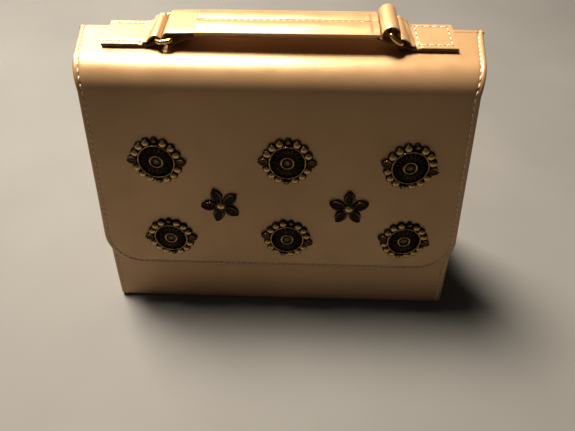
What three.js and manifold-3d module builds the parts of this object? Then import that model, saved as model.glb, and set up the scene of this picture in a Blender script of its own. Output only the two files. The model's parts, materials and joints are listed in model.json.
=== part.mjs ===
// Travel jewelry case: a leather-covered box that narrows towards its top, closed by a flap that
// comes over the top from the back and hangs down the front, with a padded handle on two rings.
// Millimetres, +Z up. The front faces -Y. The origin is the middle of the case's footprint.
import * as THREE from "three";
import { mergeVertices } from "three/addons/utils/BufferGeometryUtils.js";
import Module from "manifold-3d";

const wasm = await Module();
wasm.setup();

// ---- Driving dimensions ----

const rad = THREE.MathUtils.degToRad;

const GAP = 0.3; // clearance between pieces that touch
const LEATHER = 1.4; // leather thickness
const BOARD = 1.8; // stiffener board thickness
const LINING = 0.9; // lining thickness

const CASE_DEPTH = 80; // at the bottom, front to back
const CASE_HEIGHT = 164.4; // to the top back edge, where the flap is hinged
const CASE_WIDTH = 225; // at the bottom
const SIDE_SLOPE = 0.0537; // how fast each side draws in with height, at the bottom
const SIDE_CURVE = 0.000213; // how much faster per millimetre of height
const FRONT_LEAN = rad(10); // the front leans back
const BACK_LEAN = rad(6); // the back leans forward
const TOP_SLOPE = rad(4); // the top rises towards the back
const TOP_RADIUS = 10.5; // round edge between the front and the top
const FRONT_TOP = CASE_HEIGHT - 19.4; // height of the front wall's upper edge
const LINING_TOP = FRONT_TOP - 2; // height of the lining's upper edge

const FLAP_HEM = 38; // distance up the front where the flap ends
const FLAP_CORNER = 24; // radius of the flap's lower corners
const FLAP_HEM_MARGIN = 0.8; // how far the flap reaches past each side of the case at its hem
const FLAP_FOLD_MARGIN = -0.9; // the same where the front turns into the top
const FLAP_BACK_MARGIN = 6.4; // the same at its back edge
const FLAP_PLAY = 0.5; // space between the closed flap and the case

const ROSETTE_RADIUS = 14.4; // to the outside of the border beads
const ROSETTE_POINT = 16.3; // to the tip of the two pointed leaves
const ROSETTE_BEADS = 16;
const ROSETTE_PLATE = 1.2;
const FLOWER_RADIUS = 12;
const FLOWER_PETALS = 5;
const POST_RADIUS = 1.5; // screw post behind each ornament
const POST_HOLE = 1.8;
const NUT_RADIUS = 3.6;
const NUT_HEIGHT = 1.1;
const MAGNET_RADIUS = 6;

const STRAP_WIDTH = 22; // tabs and handle, front to back
const STRAP_INSET = 11.2; // from the top back edge to the middle of the strap
const TAB_LEATHER = 1.15;
const TAB_END = 88; // from the middle of the case to the outer end of a tab
const TAB_NECK = 68; // where the tab starts to rise to its loop
const RING_PIVOT_X = 60; // the bar of a ring inside the tab's loop
const RING_PIVOT_Z = 4.4;
const RING_REACH = 8.2; // from that bar to the bar inside the handle's loop
const RING_WIRE = 1.1; // radius of the ring's wire
const RING_BEND = 3;
const RING_SIDE_PLAY = 0.8; // between the strap's edge and the ring's end
const LOOP_PLAY = 0.25; // around the wire inside a tab's loop
const LEFT_RING_TILT = rad(5);
const RIGHT_RING_TILT = rad(37);

const HANDLE_HOVER = 6; // underside of the handle above the flap
const HANDLE_EDGE = 2.8; // height of the handle's side band
const HANDLE_CROWN = 2; // how far the padding swells above that band
const HANDLE_LEFT = -41;
const HANDLE_RIGHT = 48.5;
const HANDLE_LEATHER = 1;
const LEFT_LOOP_PLAY = 0.8; // around the ring's wire, inside the handle's left loop
const RIGHT_LOOP_PLAY = 2; // the right loop is a wider roll
const BAR_OFF_CENTRE = 0.4; // the ring's bar hangs to one side in each loop

const DIVIDER_TOP = LINING_TOP - 25;
const DIVIDER_THICKNESS = 2.4;
const ROLL_RADIUS = 6;
const ROLL_COUNT = 3;
const PANEL_THICKNESS = 2.2; // necklace panel on the back wall
const PANEL_TOP = LINING_TOP - 7;
const PANEL_LOW = 8;
const PANEL_SIDE_GAP = 4; // between the panel's ends and the side walls
const PEG_COUNT = 4;
const PEG_PITCH = 44;
const PEG_HEIGHT = PANEL_TOP - 10;
const PEG_LENGTH = 7;
const POCKET_TOP = 58;
const POCKET_DEPTH = 10;
const POCKET_WALL = 1.1;
const POCKET_WIDTH = 168;

// Ornaments, set by hand: the middle of each as x and the distance up the front, and its turn.
const TOP_ROW = 0.7135 * CASE_HEIGHT;
const FLOWER_ROW = 0.534 * CASE_HEIGHT;
const BOTTOM_ROW = 0.3796 * CASE_HEIGHT;
const COLUMN = 71;
const FLOWER_COLUMN = 36.5;
const OFF_CENTRE = 4.4; // the pattern sits a little to the right
const ROSETTES = {
  rosette_top_left: [OFF_CENTRE - COLUMN + 0.4, TOP_ROW, rad(-3)],
  rosette_top_middle: [OFF_CENTRE + 0.8, TOP_ROW + 0.8, rad(-2)],
  rosette_top_right: [OFF_CENTRE + COLUMN - 4, TOP_ROW - 0.7, rad(-9)],
  rosette_bottom_left: [OFF_CENTRE - COLUMN, BOTTOM_ROW, rad(-1)],
  rosette_bottom_middle: [OFF_CENTRE + 0.8, BOTTOM_ROW + 1, rad(-11)],
  rosette_bottom_right: [OFF_CENTRE + COLUMN + 1.1, BOTTOM_ROW + 1.7, rad(-7)],
};
const FLOWERS = {
  flower_left: [OFF_CENTRE - FLOWER_COLUMN - 1.3, FLOWER_ROW, rad(20)],
  flower_right: [OFF_CENTRE + FLOWER_COLUMN, FLOWER_ROW, 0],
};
const MAGNET_X = 50;
const MAGNET_UP = 56; // distance up the front

// ---- Materials ----

function material(color, roughness, metalness) {
  return new THREE.MeshStandardMaterial({ color, roughness, metalness });
}

const LEATHER_SKIN = material(0xcfa88f, 0.38, 0.35);
const LINING_CLOTH = material(0xb9a596, 0.9, 0);
const BOARD_GREY = material(0x8d8a84, 0.95, 0);
const OLD_BRASS = material(0x4a3a26, 0.4, 0.9);
const GOLD = material(0xc99a45, 0.25, 1);
const MAGNET_STEEL = material(0x9b9b9b, 0.3, 0.9);
const FOAM = material(0xe5ddc8, 1, 0);
const VELVET = material(0x6f5f5a, 0.95, 0);

// ---- Geometry helpers ----

// Keeps positions only and joins the shared corners, so that the mesh is one closed surface.
function welded(geometry) {
  const bare = geometry.clone();
  bare.deleteAttribute("normal");
  bare.deleteAttribute("uv");
  return mergeVertices(bare, 1e-4);
}

function toSolid(geometry) {
  const g = welded(geometry);
  const vertProperties = new Float32Array(g.attributes.position.array);
  const triVerts = new Uint32Array(g.index.array);
  return new wasm.Manifold(new wasm.Mesh({ numProp: 3, vertProperties, triVerts }));
}

function toGeometry(solid) {
  const mesh = solid.getMesh();
  const geometry = new THREE.BufferGeometry();
  const position = new THREE.BufferAttribute(new Float32Array(mesh.vertProperties), 3);
  geometry.setAttribute("position", position);
  geometry.setIndex(new THREE.BufferAttribute(new Uint32Array(mesh.triVerts), 1));
  geometry.computeVertexNormals();
  return geometry;
}

function cut(geometry, tools) {
  return toGeometry(tools.reduce((solid, tool) => solid.subtract(toSolid(tool)), toSolid(geometry)));
}

function join(...geometries) {
  return toGeometry(geometries.map(toSolid).reduce((a, b) => a.add(b)));
}

// A closed solid through rings of points. An open run has flat convex ends; a closed run has none.
function loft(rings, closed = false) {
  const sides = rings[0].length;
  const index = [];
  const last = closed ? rings.length : rings.length - 1;
  for (let r = 0; r < last; r++) {
    const next = (r + 1) % rings.length;
    for (let i = 0; i < sides; i++) {
      const j = (i + 1) % sides;
      const [a, b] = [r * sides + i, r * sides + j];
      const [c, d] = [next * sides + j, next * sides + i];
      index.push(a, b, c, a, c, d);
    }
  }
  if (!closed) {
    const end = (rings.length - 1) * sides;
    for (let i = 1; i < sides - 1; i++) {
      index.push(0, i + 1, i);
      index.push(end, end + i, end + i + 1);
    }
  }
  const geometry = new THREE.BufferGeometry();
  geometry.setAttribute("position", new THREE.Float32BufferAttribute(rings.flat(2), 3));
  geometry.setIndex(index);
  geometry.computeVertexNormals();
  return geometry;
}

const X_AXIS = new THREE.Vector3(1, 0, 0);
const Y_AXIS = new THREE.Vector3(0, 1, 0);
const Z_AXIS = new THREE.Vector3(0, 0, 1);

// An outline drawn in x and z, given a width along y about y = 0.
function acrossStrap(shape, width) {
  const geometry = new THREE.ExtrudeGeometry(shape, { depth: width, bevelEnabled: false });
  geometry.applyMatrix4(new THREE.Matrix4().makeBasis(X_AXIS, Z_AXIS, Y_AXIS.clone().negate()));
  return geometry.translate(0, width / 2, 0);
}

// An outline drawn in y and z, run along x from one place to another.
function alongStrap(shape, fromX, toX) {
  const geometry = new THREE.ExtrudeGeometry(shape, { depth: toX - fromX, bevelEnabled: false });
  geometry.applyMatrix4(new THREE.Matrix4().makeBasis(Y_AXIS, Z_AXIS, X_AXIS));
  return geometry.translate(fromX, 0, 0);
}

// The outline of a strip of even thickness that follows a line of points.
function ribbonShape(points, thickness) {
  const sides = points.map((point, i) => {
    const before = points[Math.max(i - 1, 0)];
    const after = points[Math.min(i + 1, points.length - 1)];
    const along = after.clone().sub(before).normalize();
    const offset = new THREE.Vector2(-along.y, along.x).multiplyScalar(thickness / 2);
    return [point.clone().add(offset), point.clone().sub(offset)];
  });
  const left = sides.map((side) => side[0]);
  const right = sides.map((side) => side[1]).reverse();
  return new THREE.Shape([...left, ...right]);
}

function arcPoints(x, y, radius, from, to, steps) {
  return Array.from({ length: steps + 1 }, (_, i) => {
    const angle = from + ((to - from) * i) / steps;
    return new THREE.Vector2(x + radius * Math.cos(angle), y + radius * Math.sin(angle));
  });
}

function easeBetween(from, to, steps) {
  const reach = (to.x - from.x) / 2;
  const curve = new THREE.CubicBezierCurve(
    from,
    new THREE.Vector2(from.x + reach, from.y),
    new THREE.Vector2(to.x - reach, to.y),
    to,
  );
  return curve.getPoints(steps);
}

// ---- The case's shape ----

const frontSlope = Math.tan(FRONT_LEAN);
const backSlope = Math.tan(BACK_LEAN);
const topSlope = Math.tan(TOP_SLOPE);
const backEdgeY = CASE_DEPTH - CASE_HEIGHT * backSlope;

// The corner where the front and top planes would meet, and the round edge that replaces it.
const cornerZ = (CASE_HEIGHT - backEdgeY * topSlope) / (1 - frontSlope * topSlope);
const cornerY = cornerZ * frontSlope;
const edgeTurn = Math.PI / 2 - FRONT_LEAN - TOP_SLOPE;
const edgeCut = TOP_RADIUS * Math.tan(edgeTurn / 2);
const edgeStart = Math.hypot(cornerY, cornerZ) - edgeCut;
const edgeEnd = edgeStart + TOP_RADIUS * edgeTurn;
const topLength = Math.hypot(backEdgeY - cornerY, CASE_HEIGHT - cornerZ) - edgeCut;
const backEdge = edgeEnd + topLength;
const foldAt = edgeStart + (edgeEnd - edgeStart) / 2;
const edgeStartZ = edgeStart * Math.cos(FRONT_LEAN);

// The point at a distance up the front and over the top, moved outwards from the case's surface.
function skinPoint(distance, outwards) {
  let lean = FRONT_LEAN;
  const point = { y: 0, z: 0 };
  if (distance <= edgeStart) {
    point.y = distance * Math.sin(lean);
    point.z = distance * Math.cos(lean);
  } else {
    const centreY = edgeStart * Math.sin(lean) + TOP_RADIUS * Math.cos(lean);
    const centreZ = edgeStart * Math.cos(lean) - TOP_RADIUS * Math.sin(lean);
    const turned = Math.min((distance - edgeStart) / TOP_RADIUS, edgeTurn);
    lean += turned;
    const beyond = Math.max(distance - edgeEnd, 0);
    point.y = centreY - TOP_RADIUS * Math.cos(lean) + beyond * Math.sin(lean);
    point.z = centreZ + TOP_RADIUS * Math.sin(lean) + beyond * Math.cos(lean);
  }
  return {
    y: point.y - outwards * Math.cos(lean),
    z: point.z + outwards * Math.sin(lean),
    lean,
  };
}

const up = (z) => z / Math.cos(FRONT_LEAN);

function halfWidth(z, inset) {
  return CASE_WIDTH / 2 - SIDE_SLOPE * up(z) - SIDE_CURVE * up(z) ** 2 - inset;
}

// The front of the case at a height, up to where its round edge reaches the top.
function frontY(z, inset) {
  if (z <= edgeStartZ) return z * frontSlope + inset / Math.cos(FRONT_LEAN);
  let [low, high] = [edgeStart, backEdge];
  for (let step = 0; step < 30; step++) {
    const middle = (low + high) / 2;
    if (skinPoint(middle, -inset).z < z) low = middle;
    else high = middle;
  }
  return skinPoint(low, -inset).y;
}

const backY = (z, inset) => CASE_DEPTH - z * backSlope - inset / Math.cos(BACK_LEAN);

const LEVEL_STEP = 24;

function levels(low, high) {
  const between = [];
  for (let z = LEVEL_STEP; z < edgeStartZ; z += LEVEL_STEP) between.push(z);
  const edgeSteps = 6;
  for (let i = 0; i < edgeSteps; i++) {
    between.push(edgeStartZ + ((CASE_HEIGHT - edgeStartZ) * i) / edgeSteps);
  }
  return [low, ...between.filter((z) => z > low + 1 && z < high - 1), high];
}

// A wall whose plan at each height is a rectangle from (x0, y0) to (x1, y1).
function wall(low, high, plan) {
  const rings = levels(low, high).map((z) => {
    const [x0, x1, y0, y1] = plan(z);
    return [[x0, y0, z], [x1, y0, z], [x1, y1, z], [x0, y1, z]];
  });
  return loft(rings);
}

function frontWall(low, high, inset, thickness, endInset) {
  return wall(low, high, (z) => {
    const half = halfWidth(z, endInset);
    return [-half, half, frontY(z, inset), frontY(z, inset + thickness)];
  });
}

function backWall(low, high, inset, thickness, endInset) {
  return wall(low, high, (z) => {
    const half = halfWidth(z, endInset);
    return [-half, half, backY(z, inset + thickness), backY(z, inset)];
  });
}

function sideWall(side, low, high, inset, thickness, endInset) {
  return wall(low, high, (z) => {
    const outer = side * halfWidth(z, inset);
    const inner = side * halfWidth(z, inset + thickness);
    const [x0, x1] = [Math.min(outer, inner), Math.max(outer, inner)];
    return [x0, x1, frontY(z, endInset), backY(z, endInset)];
  });
}

function floorSlab(low, high, endInset) {
  return wall(low, high, (z) => {
    const half = halfWidth(z, endInset);
    return [-half, half, frontY(z, endInset), backY(z, endInset)];
  });
}

// ---- Assembly ----

const caseGroup = new THREE.Group();
caseGroup.position.y = -CASE_DEPTH / 2;

function put(name, geometry, skin, parent = caseGroup) {
  const mesh = new THREE.Mesh(geometry, skin);
  mesh.name = name;
  parent.add(mesh);
  return mesh;
}

const boardInset = LEATHER + GAP;
const liningInset = boardInset + BOARD + GAP;
const roomInset = liningInset + LINING; // from the case's outside to the room inside

function addCovers() {
  put("front_panel", frontWall(0, FRONT_TOP, 0, LEATHER, 0), LEATHER_SKIN);
  put("back_panel", backWall(0, CASE_HEIGHT - GAP, 0, LEATHER, 0), LEATHER_SKIN);
  put("bottom_panel", floorSlab(0, LEATHER, boardInset), LEATHER_SKIN);
  const sideTop = skinPoint(backEdge, -boardInset).z - GAP;
  for (const [name, side] of [["gusset_left", -1], ["gusset_right", 1]]) {
    put(name, sideWall(side, 0, sideTop, 0, LEATHER, boardInset), LEATHER_SKIN);
  }
}

// A disc or post that stands on the case's front, from one distance outwards to another.
function frontPeg(x, distance, radius, low, high, sides = 16) {
  const middle = skinPoint(distance, (low + high) / 2);
  return new THREE.CylinderGeometry(radius, radius, high - low, sides)
    .rotateX(Math.PI - FRONT_LEAN)
    .translate(x, middle.y, middle.z);
}

const MAGNET_PLACES = [["left", -MAGNET_X], ["right", MAGNET_X]];
const magnetHole = MAGNET_RADIUS + GAP;

function addBoards() {
  const low = boardInset;
  const holes = MAGNET_PLACES.map(([, x]) =>
    frontPeg(x, MAGNET_UP, magnetHole, -boardInset - BOARD - 1, -LEATHER),
  );
  const front = frontWall(low, FRONT_TOP - GAP, boardInset, BOARD, boardInset);
  put("board_front", cut(front, holes), BOARD_GREY);
  put("board_back", backWall(low, FRONT_TOP, boardInset, BOARD, boardInset), BOARD_GREY);
  put("board_bottom", floorSlab(low, low + BOARD, liningInset), BOARD_GREY);
  for (const [name, side] of [["board_left", -1], ["board_right", 1]]) {
    put(name, sideWall(side, low, LINING_TOP, boardInset, BOARD, liningInset), BOARD_GREY);
  }
  for (const [name, x] of MAGNET_PLACES) {
    const disc = frontPeg(x, MAGNET_UP, MAGNET_RADIUS, -boardInset - BOARD + 0.1, -boardInset);
    put("magnet_case_" + name, disc, MAGNET_STEEL);
  }
}

function addLining() {
  const outer = floorSlab(liningInset, LINING_TOP, liningInset);
  const inner = floorSlab(roomInset, LINING_TOP + 1, roomInset);
  put("lining", cut(outer, [inner]), LINING_CLOTH);
}

// ---- Inside the case ----

const roomSide = roomInset + GAP;
const roomFloor = roomInset + GAP;

const panelBackInset = roomInset + GAP;
const panelFrontInset = panelBackInset + PANEL_THICKNESS;

// The divider stands upright, and at its top it is half way between the front and the panel.
const dividerMiddle = (frontY(DIVIDER_TOP, roomInset) + backY(DIVIDER_TOP, panelFrontInset)) / 2;
const dividerFront = dividerMiddle - DIVIDER_THICKNESS / 2;

function addDivider() {
  const geometry = wall(roomFloor, DIVIDER_TOP, (z) => {
    const half = halfWidth(z, roomSide);
    return [-half, half, dividerFront, dividerFront + DIVIDER_THICKNESS];
  });
  put("divider", geometry, LINING_CLOTH);
}

function addRingRolls() {
  const first = frontY(ROLL_RADIUS * 2, roomSide) + ROLL_RADIUS;
  const last = dividerFront - GAP - ROLL_RADIUS;
  const pitch = (last - first) / (ROLL_COUNT - 1);
  const rollRadius = Math.min(ROLL_RADIUS, (pitch - GAP) / 2);
  const length = 2 * halfWidth(roomFloor + 2 * rollRadius, roomSide + GAP);
  for (let i = 0; i < ROLL_COUNT; i++) {
    const roll = new THREE.CylinderGeometry(rollRadius, rollRadius, length, 12)
      .rotateZ(Math.PI / 2)
      .translate(0, first + i * pitch, roomFloor + rollRadius);
    put("ring_roll_" + (i + 1), roll, VELVET);
  }
}

function addNecklacePanel() {
  const sideInset = roomSide + PANEL_SIDE_GAP;
  const panel = backWall(PANEL_LOW, PANEL_TOP, panelBackInset, PANEL_THICKNESS, sideInset);
  put("necklace_panel", panel, VELVET);
  for (let i = 0; i < PEG_COUNT; i++) {
    const x = (i - (PEG_COUNT - 1) / 2) * PEG_PITCH;
    const profile = [
      [0, 0],
      [1.6, 0],
      [1.6, PEG_LENGTH - 2.4],
      [3.2, PEG_LENGTH - 1.8],
      [2.6, PEG_LENGTH - 0.4],
      [0, PEG_LENGTH],
    ].map(([r, h]) => new THREE.Vector2(r, h));
    const peg = new THREE.LatheGeometry(profile, 12)
      .rotateX(Math.PI + BACK_LEAN)
      .translate(x, backY(PEG_HEIGHT, panelFrontInset + GAP), PEG_HEIGHT);
    put("necklace_peg_" + (i + 1), peg, GOLD);
  }
  addPocket(panelFrontInset + GAP);
}

// A gathered pocket on the necklace panel: a trough that is open at its top and at the panel.
function addPocket(backInset) {
  const half = POCKET_WIDTH / 2;
  const outer = wall(PANEL_LOW, POCKET_TOP, (z) => [
    -half, half, backY(z, backInset + POCKET_DEPTH), backY(z, backInset),
  ]);
  const room = wall(PANEL_LOW + POCKET_WALL, POCKET_TOP + 1, (z) => [
    -half + POCKET_WALL,
    half - POCKET_WALL,
    backY(z, backInset + POCKET_DEPTH - POCKET_WALL),
    backY(z, backInset - 1),
  ]);
  put("elastic_pocket", cut(outer, [room]), LINING_CLOTH);
}

// ---- The flap ----

const flapLiningLow = FLAP_PLAY;
const flapBoardLow = flapLiningLow + LINING + GAP;
const flapLeatherLow = flapBoardLow + BOARD + GAP;
const flapOutside = flapLeatherLow + LEATHER;

const flapHalfAtHem = halfWidth(skinPoint(FLAP_HEM, 0).z, 0) + FLAP_HEM_MARGIN;
const flapHalfAtFold = halfWidth(edgeStartZ, 0) + FLAP_FOLD_MARGIN;
const flapHalfAtBack = halfWidth(CASE_HEIGHT, 0) + FLAP_BACK_MARGIN;

function flapHalfWidth(distance) {
  const onFront = Math.min(Math.max((distance - FLAP_HEM) / (edgeStart - FLAP_HEM), 0), 1);
  const onTop = Math.min(Math.max((distance - edgeStart) / (backEdge - edgeStart), 0), 1);
  const front = THREE.MathUtils.lerp(flapHalfAtHem, flapHalfAtFold, onFront);
  return front + (flapHalfAtBack - flapHalfAtFold) * onTop;
}

// A layer of the flap between two distances outwards, through a list of [distance, half width].
function flapLayer(stations, low, high) {
  const rings = stations.map(([distance, half]) => {
    const inside = skinPoint(distance, low);
    const outside = skinPoint(distance, high);
    return [
      [-half, outside.y, outside.z],
      [half, outside.y, outside.z],
      [half, inside.y, inside.z],
      [-half, inside.y, inside.z],
    ];
  });
  return loft(rings);
}

function edgeDistances(from, to) {
  const steps = 8;
  const turns = Array.from({ length: steps + 1 }, (_, i) =>
    THREE.MathUtils.lerp(edgeStart, edgeEnd, i / steps),
  );
  return [from, ...turns.filter((d) => d > from + 0.2 && d < to - 0.2), to];
}

// The front part of the flap: round lower corners, straight sides, then half of the round edge.
function frontStations(inset) {
  const radius = FLAP_CORNER - inset;
  const hem = FLAP_HEM + inset;
  const steps = 6;
  const corner = Array.from({ length: steps + 1 }, (_, i) => {
    const angle = (i / steps) * (Math.PI / 2);
    const distance = hem + radius * (1 - Math.cos(angle));
    const half = flapHalfWidth(distance) - inset - radius * (1 - Math.sin(angle));
    return [distance, half];
  });
  const rest = edgeDistances(edgeStart - GAP, foldAt - GAP / 2);
  return [...corner, ...rest.map((d) => [d, flapHalfWidth(d) - inset])];
}

function topStations(inset) {
  return edgeDistances(foldAt + GAP / 2, backEdge).map((d) => [d, flapHalfWidth(d) - inset]);
}

const LAYER_INSET = 3; // boards stop short of the stitched edge of the flap
const ORNAMENTS = { ...ROSETTES, ...FLOWERS };

function addFlapFront() {
  const places = Object.values(ORNAMENTS);
  const posts = places.map(([x, distance]) =>
    frontPeg(x, distance, POST_HOLE, flapLeatherLow - 1, flapOutside + 1, 12),
  );
  const leather = flapLayer(frontStations(0), flapLeatherLow, flapOutside);
  put("flap_front_leather", cut(leather, posts), LEATHER_SKIN);

  const pockets = places.map(([x, distance]) =>
    frontPeg(x, distance, NUT_RADIUS + GAP, flapBoardLow - 1, flapLeatherLow, 12),
  );
  for (const [name, x] of MAGNET_PLACES) {
    pockets.push(frontPeg(x, MAGNET_UP, magnetHole, flapBoardLow - 1, flapLeatherLow));
    const disc = frontPeg(x, MAGNET_UP, MAGNET_RADIUS, flapBoardLow, flapBoardLow + BOARD);
    put("magnet_flap_" + name, disc, MAGNET_STEEL);
  }
  const board = flapLayer(frontStations(LAYER_INSET), flapBoardLow, flapBoardLow + BOARD);
  put("flap_front_board", cut(board, pockets), BOARD_GREY);
  const lining = flapLayer(frontStations(1), flapLiningLow, flapLiningLow + LINING);
  put("flap_front_lining", lining, LINING_CLOTH);
}

function addFlapTop() {
  put("flap_top_leather", flapLayer(topStations(0), flapLeatherLow, flapOutside), LEATHER_SKIN);
  const board = flapLayer(topStations(LAYER_INSET), flapBoardLow, flapBoardLow + BOARD);
  put("flap_top_board", board, BOARD_GREY);
  const lining = flapLayer(topStations(1), flapLiningLow, flapLiningLow + LINING);
  put("flap_top_lining", lining, LINING_CLOTH);
}

// ---- Ornaments ----

function polarShape(points, radiusAt) {
  const outline = Array.from({ length: points }, (_, i) => {
    const angle = (i / points) * Math.PI * 2;
    return new THREE.Vector2(Math.cos(angle), Math.sin(angle)).multiplyScalar(radiusAt(angle));
  });
  return new THREE.Shape(outline);
}

// Border of a rosette: round beads, with a pointed leaf at each side.
function rosetteRadius(angle) {
  const bead = Math.abs(Math.cos((angle * ROSETTE_BEADS) / 2));
  const sideways = Math.abs(Math.cos(angle));
  const point = Math.max(sideways - 0.94, 0) / 0.06;
  return ROSETTE_RADIUS - 1.1 + 1.1 * bead + (ROSETTE_POINT - ROSETTE_RADIUS) * point;
}

function flowerRadius(angle) {
  const petal = Math.abs(Math.cos(((angle - Math.PI / 2) * FLOWER_PETALS) / 2));
  return FLOWER_RADIUS * (0.5 + 0.5 * petal);
}

// A turned piece: screw post, raised rim and a small dome, drawn as [radius, height] pairs.
function turned(profile, sides) {
  return new THREE.LatheGeometry(profile.map(([r, h]) => new THREE.Vector2(r, h)), sides)
    .rotateX(Math.PI / 2);
}

function plate(shape) {
  return new THREE.ExtrudeGeometry(shape, { depth: ROSETTE_PLATE, bevelEnabled: false });
}

const postLength = BOARD + LEATHER + GAP;

function rosetteGeometry() {
  const rim = 0.68 * ROSETTE_RADIUS;
  const relief = turned(
    [
      [0, -postLength],
      [POST_RADIUS, -postLength],
      [POST_RADIUS, 0.4],
      [rim + 1, 0.4],
      [rim + 0.7, ROSETTE_PLATE + 0.9],
      [rim - 0.5, ROSETTE_PLATE + 0.9],
      [rim - 1.2, ROSETTE_PLATE + 0.3],
      [0.36 * ROSETTE_RADIUS, ROSETTE_PLATE + 1],
      [0.16 * ROSETTE_RADIUS, ROSETTE_PLATE + 1.8],
      [0, ROSETTE_PLATE + 2],
    ],
    16,
  );
  return join(plate(polarShape(ROSETTE_BEADS * 4, rosetteRadius)), relief);
}

function flowerGeometry() {
  const dome = 0.24 * FLOWER_RADIUS;
  const relief = turned(
    [
      [0, -postLength],
      [POST_RADIUS, -postLength],
      [POST_RADIUS, 0.4],
      [dome, 0.4],
      [dome, ROSETTE_PLATE + 0.6],
      [0.5 * dome, ROSETTE_PLATE + 1.5],
      [0, ROSETTE_PLATE + 1.7],
    ],
    12,
  );
  return join(plate(polarShape(FLOWER_PETALS * 8, flowerRadius)), relief);
}

function nutGeometry() {
  const inner = POST_RADIUS + 0.2;
  return turned(
    [
      [inner, 0],
      [NUT_RADIUS, 0],
      [NUT_RADIUS, NUT_HEIGHT],
      [inner, NUT_HEIGHT],
      [inner, 0],
    ],
    10,
  );
}

// Places a piece on the front, its own z pointing straight out of the flap.
function standOnFront(mesh, x, distance, outwards, turn) {
  const place = skinPoint(distance, outwards);
  mesh.position.set(x, place.y, place.z);
  mesh.rotation.set(Math.PI / 2 - FRONT_LEAN, 0, turn);
}

function addOrnaments() {
  for (const [name, [x, distance, turn]] of Object.entries(ORNAMENTS)) {
    const geometry = name in ROSETTES ? rosetteGeometry() : flowerGeometry();
    standOnFront(put(name, geometry, OLD_BRASS), x, distance, flapOutside + GAP, turn);
    const nut = put("nut_" + name, nutGeometry(), MAGNET_STEEL);
    standOnFront(nut, x, distance, flapBoardLow + BOARD - NUT_HEIGHT, turn);
  }
}

// ---- Tabs, rings and handle, in a frame that lies on the flap's top ----

const strapGroup = new THREE.Group();
const strapPlace = skinPoint(backEdge - STRAP_INSET, flapOutside);
strapGroup.position.set(0, strapPlace.y, strapPlace.z);
strapGroup.rotation.x = TOP_SLOPE;
caseGroup.add(strapGroup);

// A strap folded round the ring's bar: up from the flap, round the bar, and back on top of itself.
function tabGeometry(side) {
  const lowZ = GAP / 2 + TAB_LEATHER / 2;
  const highZ = lowZ + TAB_LEATHER + GAP / 2;
  const loop = RING_WIRE + LOOP_PLAY + TAB_LEATHER / 2;
  const path = [
    new THREE.Vector2(-TAB_END, lowZ),
    ...easeBetween(
      new THREE.Vector2(-TAB_NECK, lowZ),
      new THREE.Vector2(-RING_PIVOT_X, RING_PIVOT_Z - loop),
      6,
    ),
    ...arcPoints(-RING_PIVOT_X, RING_PIVOT_Z, loop, -Math.PI / 2, Math.PI / 2, 10).slice(1, -1),
    ...easeBetween(
      new THREE.Vector2(-RING_PIVOT_X, RING_PIVOT_Z + loop),
      new THREE.Vector2(-TAB_NECK, highZ),
      6,
    ),
    new THREE.Vector2(-TAB_END, highZ),
  ];
  const geometry = acrossStrap(ribbonShape(path, TAB_LEATHER), STRAP_WIDTH);
  return side < 0 ? geometry : geometry.rotateZ(Math.PI);
}

// A rectangular wire ring. Its own x runs from the tab's bar to the handle's bar.
function ringGeometry() {
  const halfSpan = STRAP_WIDTH / 2 + RING_SIDE_PLAY + RING_WIRE;
  const corners = [
    [RING_REACH - RING_BEND, halfSpan - RING_BEND, 0],
    [RING_BEND, halfSpan - RING_BEND, Math.PI / 2],
    [RING_BEND, RING_BEND - halfSpan, Math.PI],
    [RING_REACH - RING_BEND, RING_BEND - halfSpan, (3 * Math.PI) / 2],
  ];
  const turnSteps = 4;
  const rings = [];
  for (const [x, y, from] of corners) {
    for (let i = 0; i <= turnSteps; i++) {
      const angle = from + (i / turnSteps) * (Math.PI / 2);
      const [ax, ay] = [Math.cos(angle), Math.sin(angle)];
      const section = Array.from({ length: 8 }, (_, k) => {
        const turn = (k / 8) * Math.PI * 2;
        const out = RING_BEND + RING_WIRE * Math.cos(turn);
        return [x + ax * out, y + ay * out, RING_WIRE * Math.sin(turn)];
      });
      rings.push(section.reverse());
    }
  }
  return loft(rings, true);
}

function addRing(name, side, tilt) {
  const ring = put(name, ringGeometry(), GOLD, strapGroup);
  ring.position.set(side * RING_PIVOT_X, 0, RING_PIVOT_Z);
  ring.rotation.order = "ZYX";
  ring.rotation.z = side < 0 ? 0 : Math.PI;
  ring.rotation.y = -tilt;
}

// The handle's section: padding between a flat underside, upright sides and a crown with a seam.
const handleHalf = STRAP_WIDTH / 2;

function crownHeight(y) {
  const share = Math.min(Math.abs(y) / handleHalf + 0.12, 1);
  return HANDLE_HOVER + HANDLE_EDGE + HANDLE_CROWN * Math.sin(Math.PI * share) ** 0.7;
}

const mirrored = (points) => points.map((p) => new THREE.Vector2(-p.x, p.y));

// Half of the outline, from the seam on top, round the side, to the underside.
function handleOutline(seam) {
  const top = [seam, 0.25 * handleHalf, 0.5 * handleHalf, 0.78 * handleHalf, 0.94 * handleHalf];
  const corner = 1.2;
  return [
    ...top.map((y) => new THREE.Vector2(y, crownHeight(y))),
    ...arcPoints(handleHalf - corner, HANDLE_HOVER + corner, corner, 0, -Math.PI / 2, 3),
  ];
}

// Half of the room for the padding, inside a cover of a given thickness.
function paddingOutline(thickness, seam) {
  const top = [seam, 0.25 * handleHalf, 0.5 * handleHalf, 0.75 * handleHalf];
  const tip = new THREE.Vector2(handleHalf - thickness - 0.6, HANDLE_HOVER + HANDLE_EDGE / 2);
  return [
    ...top.map((y) => new THREE.Vector2(y, crownHeight(y) - thickness)),
    tip,
    new THREE.Vector2(0.75 * handleHalf, HANDLE_HOVER + thickness),
  ];
}

function handleCoverShape() {
  const outer = handleOutline(GAP / 2);
  const inner = paddingOutline(HANDLE_LEATHER, GAP / 2);
  const outline = [...outer, ...mirrored(outer).reverse(), ...mirrored(inner), ...inner.reverse()];
  return new THREE.Shape(outline);
}

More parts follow.
